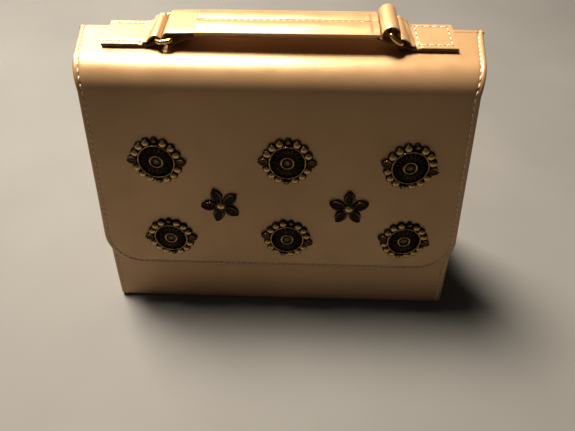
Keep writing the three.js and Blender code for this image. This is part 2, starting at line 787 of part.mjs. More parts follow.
function handleCoreShape() {
  const right = paddingOutline(HANDLE_LEATHER + GAP, 0);
  return new THREE.Shape([...right, ...mirrored(right.slice(1)).reverse()]);
}

// Where the bar of a ring that goes through the handle's loop is, on the left (-1) or right (1).
function handleBar(side, tilt) {
  return {
    x: side * (RING_PIVOT_X - RING_REACH * Math.cos(tilt)),
    z: RING_PIVOT_Z + RING_REACH * Math.sin(tilt),
  };
}

// Left loop: flat, over the handle's end. Right loop: a round roll that stands above the handle.
function leftLoopGeometry() {
  const bar = handleBar(-1, LEFT_RING_TILT);
  const [x, z] = [bar.x - BAR_OFF_CENTRE, bar.z];
  const radius = RING_WIRE + LEFT_LOOP_PLAY + HANDLE_LEATHER / 2;
  const start = HANDLE_LEFT - GAP;
  const path = [
    ...easeBetween(
      new THREE.Vector2(start, HANDLE_HOVER + HANDLE_EDGE),
      new THREE.Vector2(x, z + radius),
      5,
    ),
    ...arcPoints(x, z, radius, Math.PI / 2, (3 * Math.PI) / 2, 10).slice(1, -1),
    ...easeBetween(
      new THREE.Vector2(x, z - radius),
      new THREE.Vector2(start, HANDLE_HOVER + HANDLE_LEATHER / 2),
      5,
    ),
  ];
  return acrossStrap(ribbonShape(path, HANDLE_LEATHER), STRAP_WIDTH);
}

function rightLoopGeometry() {
  const bar = handleBar(1, RIGHT_RING_TILT);
  const [x, z] = [bar.x + BAR_OFF_CENTRE, bar.z - BAR_OFF_CENTRE];
  const radius = RING_WIRE + RIGHT_LOOP_PLAY + HANDLE_LEATHER / 2;
  const start = new THREE.Vector2(HANDLE_RIGHT + GAP, HANDLE_HOVER + HANDLE_LEATHER / 2);
  const path = [start, ...arcPoints(x, z, radius, -Math.PI / 2, rad(205), 18)];
  return acrossStrap(ribbonShape(path, HANDLE_LEATHER), STRAP_WIDTH);
}

function addHandle() {
  put("tab_left", tabGeometry(-1), LEATHER_SKIN, strapGroup);
  put("tab_right", tabGeometry(1), LEATHER_SKIN, strapGroup);
  addRing("ring_left", -1, LEFT_RING_TILT);
  addRing("ring_right", 1, RIGHT_RING_TILT);
  const cover = alongStrap(handleCoverShape(), HANDLE_LEFT, HANDLE_RIGHT);
  put("handle_cover", cover, LEATHER_SKIN, strapGroup);
  const core = alongStrap(handleCoreShape(), HANDLE_LEFT + GAP, HANDLE_RIGHT - GAP);
  put("handle_core", core, FOAM, strapGroup);
  put("handle_loop_left", leftLoopGeometry(), LEATHER_SKIN, strapGroup);
  put("handle_loop_right", rightLoopGeometry(), LEATHER_SKIN, strapGroup);
}

addCovers();
addBoards();
addLining();
addDivider();
addRingRolls();
addNecklacePanel();
addFlapTop();
addFlapFront();
addOrnaments();
addHandle();

export default caseGroup;
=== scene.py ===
import json
import math

import bmesh
import bpy
import numpy as np
from mathutils import Matrix, Vector


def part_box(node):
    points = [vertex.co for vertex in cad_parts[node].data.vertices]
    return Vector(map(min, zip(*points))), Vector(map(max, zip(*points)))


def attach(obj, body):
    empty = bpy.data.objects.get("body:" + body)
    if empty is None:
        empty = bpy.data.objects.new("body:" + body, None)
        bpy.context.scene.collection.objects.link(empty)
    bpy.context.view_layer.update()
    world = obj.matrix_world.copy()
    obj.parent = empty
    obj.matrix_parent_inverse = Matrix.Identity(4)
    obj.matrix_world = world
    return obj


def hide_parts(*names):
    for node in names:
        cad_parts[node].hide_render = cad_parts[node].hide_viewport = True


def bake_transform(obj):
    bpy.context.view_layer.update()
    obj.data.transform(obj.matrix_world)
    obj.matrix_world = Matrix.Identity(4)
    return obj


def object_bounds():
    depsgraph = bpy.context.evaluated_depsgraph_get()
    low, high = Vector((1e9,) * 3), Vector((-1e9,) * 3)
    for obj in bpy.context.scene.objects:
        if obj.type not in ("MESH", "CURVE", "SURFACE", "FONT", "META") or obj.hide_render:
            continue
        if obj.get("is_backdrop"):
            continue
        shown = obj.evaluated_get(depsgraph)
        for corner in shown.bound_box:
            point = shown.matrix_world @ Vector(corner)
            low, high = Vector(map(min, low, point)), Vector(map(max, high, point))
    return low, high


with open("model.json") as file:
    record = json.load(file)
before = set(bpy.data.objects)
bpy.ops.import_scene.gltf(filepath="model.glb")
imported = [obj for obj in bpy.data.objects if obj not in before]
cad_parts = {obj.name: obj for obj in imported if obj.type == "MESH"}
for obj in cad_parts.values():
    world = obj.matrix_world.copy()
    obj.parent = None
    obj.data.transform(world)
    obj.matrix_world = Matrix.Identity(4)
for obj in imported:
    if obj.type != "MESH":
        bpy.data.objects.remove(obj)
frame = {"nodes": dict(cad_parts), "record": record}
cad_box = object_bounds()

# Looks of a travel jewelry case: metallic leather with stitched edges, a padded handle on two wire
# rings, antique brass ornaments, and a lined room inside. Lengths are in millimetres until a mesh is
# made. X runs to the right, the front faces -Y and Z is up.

MM = 0.001
rad = math.radians

# ---- The case's shape, as in the frame ----

FRONT_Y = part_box("front_panel")[0].y / MM
BACK_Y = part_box("back_panel")[1].y / MM
CASE_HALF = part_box("front_panel")[1].x / MM
FRONT_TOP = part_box("front_panel")[1].z / MM
LINING_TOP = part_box("lining")[1].z / MM
CASE_HEIGHT = 164.4
SIDE_SLOPE = 0.0537
SIDE_CURVE = 0.000213
FRONT_LEAN = rad(10)
BACK_LEAN = rad(6)
TOP_SLOPE = rad(4)
TOP_RADIUS = 10.5

LEATHER = 1.4
FLAP_OUTSIDE = 5.2  # from the case's surface to the flap's outer one
FLAP_INSIDE = 0.5  # and to its inner one
FLAP_HEM = 38
FLAP_CORNER = 24
FLAP_HEM_MARGIN = 1.5  # the flap reaches this far past each side of the case at its hem,
FLAP_FOLD_MARGIN = 0.3  # where the front turns into the top,
FLAP_BACK_MARGIN = 8  # and at its back edge
FLAP_SPREAD = 1.15  # power by which it widens over the top

STRAP_HALF = 11
STRAP_INSET = 11.2
TAB_LEATHER = 1.15
TAB_END = 88
TAB_NECK = 68
RING_PIVOT_X = 60
RING_PIVOT_Z = 4.4
RING_REACH = 8.2
RING_WIRE = 1.1
RING_TILTS = {"left": rad(5), "right": rad(37)}
HANDLE_HOVER = 6
HANDLE_EDGE = 2.8
HANDLE_LEFT = -41
HANDLE_RIGHT = 48.5

STITCH_INSET = 2.8
STITCH_PITCH = 3.7
STITCH_HEIGHT = -0.22  # a stitch's middle under the leather's surface
TAB_PITCH = 3.9
HANDLE_PITCH = 3.2

FLAP_EDGE_LOW = -3.5  # underside of the turned edge, below the leather's surface
FLAP_TUCK = 1.2  # the flap's lining ends this far inside its edge
BODY_FLANGE = 0.5  # the body's edges stand a little past the side gussets
BODY_CORNER = 5
BOARD_CLEARANCE = 1  # from the flap's board to the leather behind it
FLARE_LENGTH = 40  # the back widens to the flap over this length
GUSSET_INSET = 1.7
LINING = 0.9
LINING_INSET = 3.8
LINING_FLOOR = 4.7
PANEL_THICKNESS = 2.2
PANEL_INSET = LINING_INSET + LINING + 0.35  # from the case's back to the necklace panel's
TAB_GAP = 0.15  # under the tab, and between its two layers
PAD_END = 45  # the padding stops here; the strap goes on to the right loop
LOOP_LEATHER = 1.0

front_slope = math.tan(FRONT_LEAN)
back_slope = math.tan(BACK_LEAN)
top_slope = math.tan(TOP_SLOPE)
case_depth = BACK_Y - FRONT_Y
back_edge_y = case_depth - CASE_HEIGHT * back_slope
corner_z = (CASE_HEIGHT - back_edge_y * top_slope) / (1 - front_slope * top_slope)
corner_y = corner_z * front_slope
edge_turn = math.pi / 2 - FRONT_LEAN - TOP_SLOPE
edge_cut = TOP_RADIUS * math.tan(edge_turn / 2)
edge_start = math.hypot(corner_y, corner_z) - edge_cut
edge_end = edge_start + TOP_RADIUS * edge_turn
back_edge = edge_end + math.hypot(back_edge_y - corner_y, CASE_HEIGHT - corner_z) - edge_cut


def skin_point(distance, outwards=0.0):
    """The y, z and lean of the surface at a distance up the front and over the top."""
    lean = FRONT_LEAN
    if distance <= edge_start:
        y, z = distance * math.sin(lean), distance * math.cos(lean)
    else:
        centre_y = edge_start * math.sin(lean) + TOP_RADIUS * math.cos(lean)
        centre_z = edge_start * math.cos(lean) - TOP_RADIUS * math.sin(lean)
        lean += min((distance - edge_start) / TOP_RADIUS, edge_turn)
        beyond = max(distance - edge_end, 0)
        y = centre_y - TOP_RADIUS * math.cos(lean) + beyond * math.sin(lean)
        z = centre_z + TOP_RADIUS * math.sin(lean) + beyond * math.cos(lean)
    y, z = y - outwards * math.cos(lean), z + outwards * math.sin(lean)
    return y + FRONT_Y, z, lean


def half_width(z):
    up = z / math.cos(FRONT_LEAN)
    return CASE_HALF - SIDE_SLOPE * up - SIDE_CURVE * up**2


def front_y(z, inset=0.0):
    """The front of the case at a height, over the round edge too."""
    if z <= skin_point(edge_start)[1]:
        return FRONT_Y + z * front_slope + inset / math.cos(FRONT_LEAN)
    low, high = edge_start, back_edge
    for _ in range(30):
        middle = (low + high) / 2
        low, high = (middle, high) if skin_point(middle, -inset)[1] < z else (low, middle)
    return skin_point(low, -inset)[0]


def back_y(z, inset=0.0):
    return BACK_Y - z * back_slope - inset / math.cos(BACK_LEAN)


def flap_half(distance):
    hem = half_width(FLAP_HEM * math.cos(FRONT_LEAN)) + FLAP_HEM_MARGIN
    fold = half_width(edge_start * math.cos(FRONT_LEAN)) + FLAP_FOLD_MARGIN
    back = half_width(CASE_HEIGHT) + FLAP_BACK_MARGIN
    on_front = np.clip((distance - FLAP_HEM) / (edge_start - FLAP_HEM), 0, 1)
    on_top = np.clip((distance - edge_start) / (back_edge - edge_start), 0, 1)
    return hem + (fold - hem) * on_front + (back - fold) * on_top**FLAP_SPREAD


def eased(share):
    share = min(max(share, 0.0), 1.0)
    return share * share * (3 - 2 * share)


def bump(value, middle, width):
    return math.exp(-(((value - middle) / width) ** 2))


# ---- Mesh helpers ----


def make_piece(name, points, faces, *paints, sharp=45):
    """A closed, smooth-shaded mesh from points in millimetres. Edges over sharp degrees stay sharp."""
    mesh = bpy.data.meshes.new(name)
    mesh.from_pydata((np.asarray(points, float) * MM).tolist(), [], faces)
    for paint in paints:
        mesh.materials.append(paint)
    work = bmesh.new()
    work.from_mesh(mesh)
    bmesh.ops.remove_doubles(work, verts=work.verts, dist=2e-6)
    open_edges = [edge for edge in work.edges if edge.is_boundary]
    if open_edges:
        bmesh.ops.holes_fill(work, edges=open_edges)
    bmesh.ops.recalc_face_normals(work, faces=work.faces)
    work.to_mesh(mesh)
    work.free()
    mesh.shade_smooth()
    mesh.set_sharp_from_angle(angle=rad(sharp))
    piece = bpy.data.objects.new(name, mesh)
    bpy.context.scene.collection.objects.link(piece)
    return piece


def grid_faces(rows, columns, start=0, wrap=False, flip=False):
    """Quads of a grid of points; wrap joins the last column to the first."""
    faces = []
    for r in range(rows - 1):
        for c in range(columns if wrap else columns - 1):
            d = (c + 1) % columns
            quad = [r * columns + c, r * columns + d, (r + 1) * columns + d, (r + 1) * columns + c]
            faces.append([start + i for i in (quad[::-1] if flip else quad)])
    return faces


def tube_faces(count, sides, closed=False):
    """Faces of rings joined into a tube, with flat ends unless it is closed into a hoop."""
    faces = grid_faces(count, sides, wrap=True)
    last = (count - 1) * sides
    if closed:
        for c in range(sides):
            d = (c + 1) % sides
            faces.append([last + c, last + d, d, c])
    else:
        faces.append(list(range(sides))[::-1])
        faces.append([last + c for c in range(sides)])
    return faces


def tube_piece(name, rings, *paints, closed=False, sharp=45):
    rings = np.asarray(rings, float)
    faces = tube_faces(len(rings), rings.shape[1], closed)
    return make_piece(name, rings.reshape(-1, 3), faces, *paints, sharp=sharp)


def shell_mesh(outer, inner, flip=False):
    """Points and faces of a closed sheet between two grids of points."""
    outer, inner = np.asarray(outer, float), np.asarray(inner, float)
    rows, columns = outer.shape[:2]
    count = rows * columns
    faces = grid_faces(rows, columns, flip=flip) + grid_faces(rows, columns, count, flip=not flip)
    rim = list(range(columns))
    rim += [r * columns + columns - 1 for r in range(1, rows)]
    rim += [(rows - 1) * columns + c for c in range(columns - 2, -1, -1)]
    rim += [r * columns for r in range(rows - 2, 0, -1)]
    for a, b in zip(rim, rim[1:] + rim[:1]):
        faces.append([b, a, a + count, b + count] if flip else [a, b, b + count, a + count])
    return np.concatenate([outer.reshape(-1, 3), inner.reshape(-1, 3)]), faces


def shell_piece(name, outer, inner, *paints, sharp=45):
    return make_piece(name, *shell_mesh(outer, inner), *paints, sharp=sharp)


def turned_mesh(profile, sides=32):
    """Points and faces of a turned shape from [radius, height] pairs, height along z."""
    points = []
    for radius, height in profile:
        for i in range(sides):
            angle = 2 * math.pi * i / sides
            points.append((radius * math.cos(angle), radius * math.sin(angle), height))
    return np.array(points), grid_faces(len(profile), sides, wrap=True)


def joined(parts):
    """Several (points, faces) as one."""
    points, faces, start = [], [], 0
    for part_points, part_faces in parts:
        points.append(np.asarray(part_points, float))
        faces += [[start + i for i in face] for face in part_faces]
        start += len(part_points)
    return np.concatenate(points), faces


def placed(matrix, points):
    """Points in millimetres through a matrix whose lengths are millimetres."""
    m = np.array(matrix, float)
    return np.asarray(points, float) @ m[:3, :3].T + m[:3, 3]


def rounded_path(corners, radii, step=1.0):
    """Points along straight runs with round corners, about a step apart."""
    corners = [np.array(c, float) for c in corners]
    points = [corners[0]]
    for before, corner, after, radius in zip(corners, corners[1:], corners[2:], radii):
        a = (before - corner) / np.linalg.norm(before - corner)
        b = (after - corner) / np.linalg.norm(after - corner)
        half_angle = math.acos(np.clip(a @ b, -1, 1)) / 2
        reach = radius / math.tan(half_angle)
        middle = (a + b) / np.linalg.norm(a + b)
        centre = corner + middle * radius / math.sin(half_angle)
        first, last = corner + a * reach - centre, corner + b * reach - centre
        turn = math.pi - 2 * half_angle
        count = max(4, int(turn * radius / (0.4 * step)))
        for i in range(count + 1):
            share = i / count
            arc = first * math.sin((1 - share) * turn) + last * math.sin(share * turn)
            points.append(centre + arc / math.sin(turn))
    points.append(corners[-1])
    dense = [points[0]]
    for a, b in zip(points, points[1:]):
        pieces = max(1, math.ceil(np.linalg.norm(b - a) / (4 * step)))
        dense += [a + (b - a) * i / pieces for i in range(1, pieces + 1)]
    return np.array(dense)


def along_path(points):
    steps = np.linalg.norm(np.diff(points, axis=0), axis=1)
    return np.concatenate([[0], np.cumsum(steps)])


def unit_tangents(points, along):
    tangents = np.gradient(points, along, axis=0)
    return tangents / np.linalg.norm(tangents, axis=1)[:, None]


# ---- Edges and stitches ----

# Section of a turned and stitched edge: (inset from the edge, height over the leather's surface).
EDGE = [
    (6.0, 0.0),
    (4.2, 0.0),
    (3.5, -0.06),
    (3.1, -0.22),
    (2.8, -0.32),
    (2.5, -0.2),
    (2.1, 0.05),
    (1.5, 0.16),
    (0.9, 0.08),
    (0.4, -0.2),
    (0.08, -0.62),
]


def edge_height(inset):
    insets, heights = zip(*reversed(EDGE))
    return float(np.interp(inset, insets, heights))


def capsule(middle, along, out, length, radius):
    """One stitch: a short thread that dips into the leather at both ends."""
    along, out = np.array(along, float), np.array(out, float)
    along /= np.linalg.norm(along)
    side = np.cross(along, out)
    side /= np.linalg.norm(side)
    out = np.cross(side, along)
    rings = []
    for share, size in ((-1, 0.25), (-0.86, 0.75), (-0.45, 1), (0.45, 1), (0.86, 0.75), (1, 0.25)):
        centre = middle + along * share * length / 2 + out * radius * (0.6 - 1.5 * share**2)
        for k in range(6):
            angle = 2 * math.pi * k / 6
            spoke = side * math.cos(angle) + out * math.sin(angle)
            rings.append(centre + spoke * radius * size)
    return np.array(rings), tube_faces(6, 6)


def stitch_places(points, outs, pitch, lead=0.0):
    """(middle, direction, outwards) every pitch along a line of points."""
    points, outs = np.asarray(points, float), np.asarray(outs, float)
    along = along_path(points)
    count = int((along[-1] - 2 * lead) / pitch)
    start = (along[-1] - count * pitch) / 2
    places = []
    for i in range(count):
        at = start + (i + 0.5) * pitch
        here, ahead, out = (
            np.array([np.interp(value, along, line[:, k]) for k in range(3)])
            for value, line in ((at, points), (at + 0.4, points), (at, outs))
        )
        places.append((here, ahead - here, out))
    return places


def stitch_piece(name, places, length=2.7, radius=0.34, matrix=None):
    """A row of stitches at places, which a matrix may lay on the flap's top."""
    points, faces = joined([capsule(*place, length, radius) for place in places])
    if matrix is not None:
        points = placed(matrix, points)
    return make_piece(name, points, faces, THREAD_PAINT, sharp=80)


# ---- Paints ----


def paint_tree(name):
    material = bpy.data.materials.new(name)
    material.use_nodes = True
    tree = material.node_tree
    return material, tree, tree.nodes["Principled BSDF"]


def object_coords(tree):
    return tree.nodes.new("ShaderNodeTexCoord").outputs["Object"]


def noise(tree, scale, detail=3, roughness=0.55, stretch=None):
    """Noise over the object, with features of about one over scale metres."""
    node = tree.nodes.new("ShaderNodeTexNoise")
    node.inputs["Scale"].default_value = scale
    node.inputs["Detail"].default_value = detail
    node.inputs["Roughness"].default_value = roughness
    source = object_coords(tree)
    if stretch:
        mapping = tree.nodes.new("ShaderNodeMapping")
        mapping.inputs["Scale"].default_value = stretch
        tree.links.new(source, mapping.inputs["Vector"])
        source = mapping.outputs["Vector"]
    tree.links.new(source, node.inputs["Vector"])
    return node.outputs["Fac"]


def cells(tree, scale):
    node = tree.nodes.new("ShaderNodeTexVoronoi")
    node.inputs["Scale"].default_value = scale
    tree.links.new(object_coords(tree), node.inputs["Vector"])
    return node.outputs["Distance"]


def ramp(tree, source, stops):
    """Colours or greys along a value: [(position, colour), ...]."""
    node = tree.nodes.new("ShaderNodeValToRGB")
    elements = node.color_ramp.elements
    while len(elements) < len(stops):
        elements.new(0.5)
    for element, (position, color) in zip(elements, stops):
        element.position = position
        element.color = (*color, 1) if len(color) == 3 else (color[0],) * 3 + (1,)
    tree.links.new(source, node.inputs["Fac"])
    return node.outputs["Color"]


def math_node(tree, operation, a, b):
    node = tree.nodes.new("ShaderNodeMath")
    node.operation = operation
    for socket, value in zip(node.inputs, (a, b)):
        if isinstance(value, (int, float)):
            socket.default_value = value
        else:
            tree.links.new(value, socket)
    return node.outputs["Value"]


def add_bump(tree, skin, height, depth, strength=1.0):
    """Bump of a depth in metres."""
    node = tree.nodes.new("ShaderNodeBump")
    node.inputs["Strength"].default_value = strength
    node.inputs["Distance"].default_value = depth
    tree.links.new(height, node.inputs["Height"])
    tree.links.new(node.outputs["Normal"], skin.inputs["Normal"])


def leather_paint(name, light, dark, metallic=0.5, roughness=(0.36, 0.46)):
    """Smooth metallic leather: soft clouds of tint, a fine pebble grain and a few shallow dents."""
    material, tree, skin = paint_tree(name)
    clouds = noise(tree, 14, 2)
    tree.links.new(ramp(tree, clouds, [(0.3, dark), (0.7, light)]), skin.inputs["Base Color"])
    skin.inputs["Metallic"].default_value = metallic
    skin.inputs["Coat Weight"].default_value = 0.12
    skin.inputs["Coat Roughness"].default_value = 0.35
    worn = ramp(tree, noise(tree, 90, 4), [(0.3, roughness[:1]), (0.7, roughness[1:])])
    tree.links.new(worn, skin.inputs["Roughness"])
    grain = math_node(tree, "MULTIPLY", cells(tree, 1500), 0.5)
    dents = math_node(tree, "MULTIPLY", noise(tree, 45, 2), 2.2)
    add_bump(tree, skin, math_node(tree, "ADD", grain, dents), 0.0001, 0.55)
    return material


def dull_paint(name, light, dark, roughness=0.7, scale=400, depth=0.0001):
    """Raw edges, thread and board: fibres and uneven tint."""
    material, tree, skin = paint_tree(name)
    fibres = noise(tree, scale, 4, 0.6)
    tree.links.new(ramp(tree, fibres, [(0.35, dark), (0.65, light)]), skin.inputs["Base Color"])
    skin.inputs["Roughness"].default_value = roughness
    add_bump(tree, skin, fibres, depth, 0.6)
    return material


def weave_paint(name, light, dark, pitch=0.0007, sheen=0.3):
    """Fine woven cloth: two crossed sets of threads."""
    material, tree, skin = paint_tree(name)
    waves = []
    for direction in ("X", "Z"):
        wave = tree.nodes.new("ShaderNodeTexWave")
        wave.bands_direction = direction
        wave.inputs["Scale"].default_value = 0.314 / pitch
        wave.inputs["Distortion"].default_value = 0.6
        tree.links.new(object_coords(tree), wave.inputs["Vector"])
        waves.append(wave.outputs["Fac"])
    threads = math_node(tree, "MAXIMUM", *waves)
    tint = math_node(tree, "ADD", math_node(tree, "MULTIPLY", threads, 0.6), noise(tree, 60, 3))
    tree.links.new(ramp(tree, tint, [(0.5, dark), (1.1, light)]), skin.inputs["Base Color"])
    skin.inputs["Roughness"].default_value = 0.85
    skin.inputs["Sheen Weight"].default_value = sheen
    add_bump(tree, skin, threads, 0.0002, 0.7)
    return material


def velvet_paint(name, light, dark):
    """Short pile, brushed this way and that."""
    material, tree, skin = paint_tree(name)
    brushed = noise(tree, 40, 3)
    pile = math_node(tree, "ADD", brushed, math_node(tree, "MULTIPLY", noise(tree, 2500), 0.3))
    tree.links.new(ramp(tree, pile, [(0.45, dark), (0.85, light)]), skin.inputs["Base Color"])
    skin.inputs["Roughness"].default_value = 0.9
    skin.inputs["Sheen Weight"].default_value = 0.8
    skin.inputs["Sheen Roughness"].default_value = 0.4
    add_bump(tree, skin, pile, 0.0002, 0.5)
    return material


def old_brass_paint():
    """Antique brass: nearly black in its hollows, worn to brass where it stands up."""
    material, tree, skin = paint_tree("old_brass_paint")
    raised = tree.nodes.new("ShaderNodeAttribute")
    raised.attribute_name = "raised"
    uneven = math_node(tree, "SUBTRACT", noise(tree, 700, 4), 0.5)
    blotches = math_node(tree, "MULTIPLY", uneven, 0.7)
    wear = math_node(tree, "ADD", raised.outputs["Fac"], blotches)
    stops = [(0.35, (0.012, 0.008, 0.005)), (0.75, (0.11, 0.066, 0.028)), (1.05, (0.6, 0.38, 0.14))]
    tree.links.new(ramp(tree, wear, stops), skin.inputs["Base Color"])
    skin.inputs["Metallic"].default_value = 0.9
    tree.links.new(ramp(tree, wear, [(0.3, (0.5,)), (1.0, (0.27,))]), skin.inputs["Roughness"])
    add_bump(tree, skin, noise(tree, 1400, 4), 0.0002, 0.5)
    return material


def metal_paint(name, color, roughness):
    """Polished or plain metal with fine scratches."""
    material, tree, skin = paint_tree(name)
    scratches = noise(tree, 500, 4, 0.6, stretch=(0.2, 1, 1))
    tones = [(0.3, tuple(0.8 * c for c in color)), (0.7, color)]
    tree.links.new(ramp(tree, scratches, tones), skin.inputs["Base Color"])
    skin.inputs["Metallic"].default_value = 1
    shine = [(0.3, (roughness * 0.8,)), (0.7, (roughness * 1.3,))]
    tree.links.new(ramp(tree, scratches, shine), skin.inputs["Roughness"])
    add_bump(tree, skin, scratches, 0.00003, 0.4)
    return material


LEATHER_PAINT = leather_paint("leather_paint", (0.52, 0.32, 0.16), (0.43, 0.255, 0.122))
RAW_EDGE = dull_paint("raw_edge_paint", (0.06, 0.038, 0.022), (0.03, 0.018, 0.01))
CORE_PAINT = dull_paint("core_paint", (0.42, 0.33, 0.24), (0.3, 0.22, 0.15))
THREAD_PAINT = dull_paint("thread_paint", (0.86, 0.7, 0.52), (0.72, 0.56, 0.4), 0.5, 3000)
# Near-black paint for the stitch holes: painted shade, standing in for the dark inside of each hole.
HOLE_SHADE_PAINT = dull_paint("hole_shade_paint", (0.05, 0.03, 0.02), (0.02, 0.012, 0.008))
LINING_PAINT = weave_paint("lining_paint", (0.5, 0.41, 0.34), (0.38, 0.3, 0.24))
VELVET_PAINT = velvet_paint("velvet_paint", (0.2, 0.15, 0.13), (0.11, 0.08, 0.07))
BOARD_PAINT = dull_paint("board_paint", (0.3, 0.28, 0.25), (0.22, 0.2, 0.18))
FOAM_PAINT = dull_paint("foam_paint", (0.8, 0.75, 0.62), (0.66, 0.6, 0.48), 0.9)
OLD_BRASS = old_brass_paint()
GOLD_PAINT = metal_paint("gold_paint", (0.83, 0.56, 0.2), 0.2)
STEEL_PAINT = metal_paint("steel_paint", (0.5, 0.5, 0.5), 0.35)

SLOT_PAINTS = {
    "leather": LEATHER_PAINT,
    "lining": LINING_PAINT,
    "velvet": VELVET_PAINT,
    "board": BOARD_PAINT,
    "old_brass": OLD_BRASS,
    "gold": GOLD_PAINT,
    "steel": STEEL_PAINT,
    "foam": FOAM_PAINT,
}


def paint_frame():
    """Every CAD node that stays gets the paint of its slot."""
    for subpart in frame["record"]["subparts"]:
        node = frame["nodes"][subpart["node"]]
        node.data.materials.clear()
        node.data.materials.append(SLOT_PAINTS[subpart["material_slot"]])


# ---- Leather sheets with a stitched outline ----


def linspace(a, b, step):
    return list(np.linspace(a, b, max(2, math.ceil(abs(b - a) / step) + 1)))


class Apron:
    """A sheet with a hem, two round corners and two sides, on a surface given by place(x, distance,
    height). half_at gives half of its width at a distance from the surface's start."""

    def __init__(self, half_at, place, hem, corner, stations, columns=48):
        self.half_at, self.place = half_at, place
        self.hem, self.corner = hem, corner
        self.stations, self.columns = stations, columns

    def left(self, inset):
        """The left side from its far end down to the hem, moved in by inset."""
        line = [(self.half_at(s) - inset, s) for s in self.stations]
        steps = 12
        radius = self.corner - inset
        for i in range(steps + 1):
            angle = math.pi / 2 * (1 - i / steps)
            distance = self.hem + inset + radius * (1 - math.cos(angle))
            half = self.half_at(distance) - inset - radius * (1 - math.sin(angle))
            line.append((half, distance))
        return line

    def outline(self, inset):
        """(x, distance) from the left side's far end, along the hem, to the right side's far end."""
        left = self.left(inset)
        half, hem = left[-1]
        sides = [(-x, s) for x, s in left]
        hem_points = [(half * (2 * k / self.columns - 1), hem) for k in range(1, self.columns)]
        return sides + hem_points + [(x, s) for x, s in reversed(left)]

    def field(self, inset, height):
        rows = [
            [self.place(half * (2 * k / self.columns - 1), s, height) for k in range(self.columns + 1)]
            for half, s in self.left(inset)
        ]
        return np.array(rows)

    def piece(self, name, section, *paints):
        """section is (inset, height) pairs, from the outer field round the edge to the inner one."""
        rings = np.array([[self.place(x, s, h) for x, s in self.outline(i)] for i, h in section])
        parts = [(rings.reshape(-1, 3), grid_faces(*rings.shape[:2]))]
        for inset, height in (section[0], section[-1]):
            field = self.field(inset, height)
            parts.append((field.reshape(-1, 3), grid_faces(*field.shape[:2])))
        return make_piece(name, *joined(parts), *paints)

    def seam(self, inset, height):
        """Stitches along the outline."""
        line = self.outline(inset)
        points = np.array([self.place(x, s, height) for x, s in line])
        outs = np.array([self.place(x, s, height + 1) for x, s in line]) - points
        return stitch_places(points, outs, STITCH_PITCH, lead=3)


def waviness(x, distance):
    """Leather over board is never quite flat."""
    broad = math.sin(0.021 * x + 0.6) * math.sin(0.026 * distance - 0.4)
    fine = math.sin(0.06 * x - 0.05 * distance) * math.sin(0.045 * distance + 0.9)
    return 0.28 * broad + 0.07 * fine


def on_flap(x, distance, height):
    y, z, _ = skin_point(distance, FLAP_OUTSIDE + height + waviness(x, distance))
    return (x, y, z)


FLAP_JOIN = back_edge - 3  # where the flap's skin meets the one that comes up from the back
FLAP_STATIONS = (
    linspace(FLAP_JOIN, edge_end, 3)
    + linspace(edge_end, edge_start, 0.9)[1:]
    + linspace(edge_start, FLAP_HEM + FLAP_CORNER, 3)[1:-1]
)


def fold_ends():
    """Two points between which the flap bends over the top front edge."""
    ends = [skin_point(distance, FLAP_OUTSIDE) for distance in (edge_end + 1, edge_start - 1)]
    return [(0, y * MM, z * MM) for y, z, _ in ends]


def add_flap():
    apron = Apron(flap_half, on_flap, FLAP_HEM, FLAP_CORNER, FLAP_STATIONS)
    under = [
        (0.02, -1.4),
        (0.02, FLAP_EDGE_LOW + 0.7),
        (0.3, FLAP_EDGE_LOW + 0.15),
        (0.8, FLAP_EDGE_LOW),
        (2.5, FLAP_EDGE_LOW),
        (2.75, FLAP_EDGE_LOW + 0.3),
        (2.8, -LEATHER - 0.1),
        (6.0, -LEATHER),
    ]
    skin = apron.piece("flap_skin", EDGE + under, LEATHER_PAINT)
    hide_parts("flap_front_leather", "flap_top_leather")
    seam = stitch_piece("flap_stitches", apron.seam(STITCH_INSET, STITCH_HEIGHT))
    for piece in (skin, seam):
        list(fold_ends())
        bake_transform(piece)
    add_flap_lining()


def add_flap_lining():
    """Cloth on the flap's inside, glued to its board and tucked under the turned edge."""

    def under_flap(x, distance, height):
        y, z, _ = skin_point(distance, FLAP_INSIDE + 0.5 + height + 0.4 * waviness(x, distance))
        return (x, y, z)

    stations = [s for s in FLAP_STATIONS if s < back_edge - 1]
    hem, corner = FLAP_HEM + FLAP_TUCK, FLAP_CORNER - FLAP_TUCK
    apron = Apron(lambda s: flap_half(s) - FLAP_TUCK, under_flap, hem, corner, stations)
    section = [(3, 0.35), (1.2, 0.35), (0.4, 0.2), (0.0, 0.0), (0.4, -0.2), (1.2, -0.35), (3, -0.35)]
    cloth = apron.piece("flap_lining", section, LINING_PAINT)
    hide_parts("flap_front_lining", "flap_top_lining")
    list(fold_ends())
    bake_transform(cloth)


# ---- The body: one piece of leather down the front, under the bottom and up the back ----


def body_line():
    front_top = skin_point(FRONT_TOP / math.cos(FRONT_LEAN))
    hinge = (back_y(CASE_HEIGHT), CASE_HEIGHT)
    flap_back = skin_point(back_edge + BOARD_CLEARANCE, FLAP_OUTSIDE)
    flap_join = skin_point(FLAP_JOIN, FLAP_OUTSIDE)
    corners = [front_top[:2], (FRONT_Y, 0), (BACK_Y, 0), hinge, flap_back[:2], flap_join[:2]]
    return rounded_path(corners, [3.2, 3.2, 8, 2.2])


BODY_LINE = body_line()
BODY_ALONG = along_path(BODY_LINE)
BODY_TANGENT = unit_tangents(BODY_LINE, BODY_ALONG)
HINGE_S = BODY_ALONG[np.argmin(np.hypot(*(BODY_LINE - [back_y(CASE_HEIGHT), CASE_HEIGHT]).T))]


def body_half(s):
    z = np.interp(s, BODY_ALONG, BODY_LINE[:, 1])
    plain = half_width(min(z, CASE_HEIGHT)) + BODY_FLANGE
    share = eased((s - HINGE_S + FLARE_LENGTH) / FLARE_LENGTH)
    return plain + (flap_half(back_edge) - plain) * share


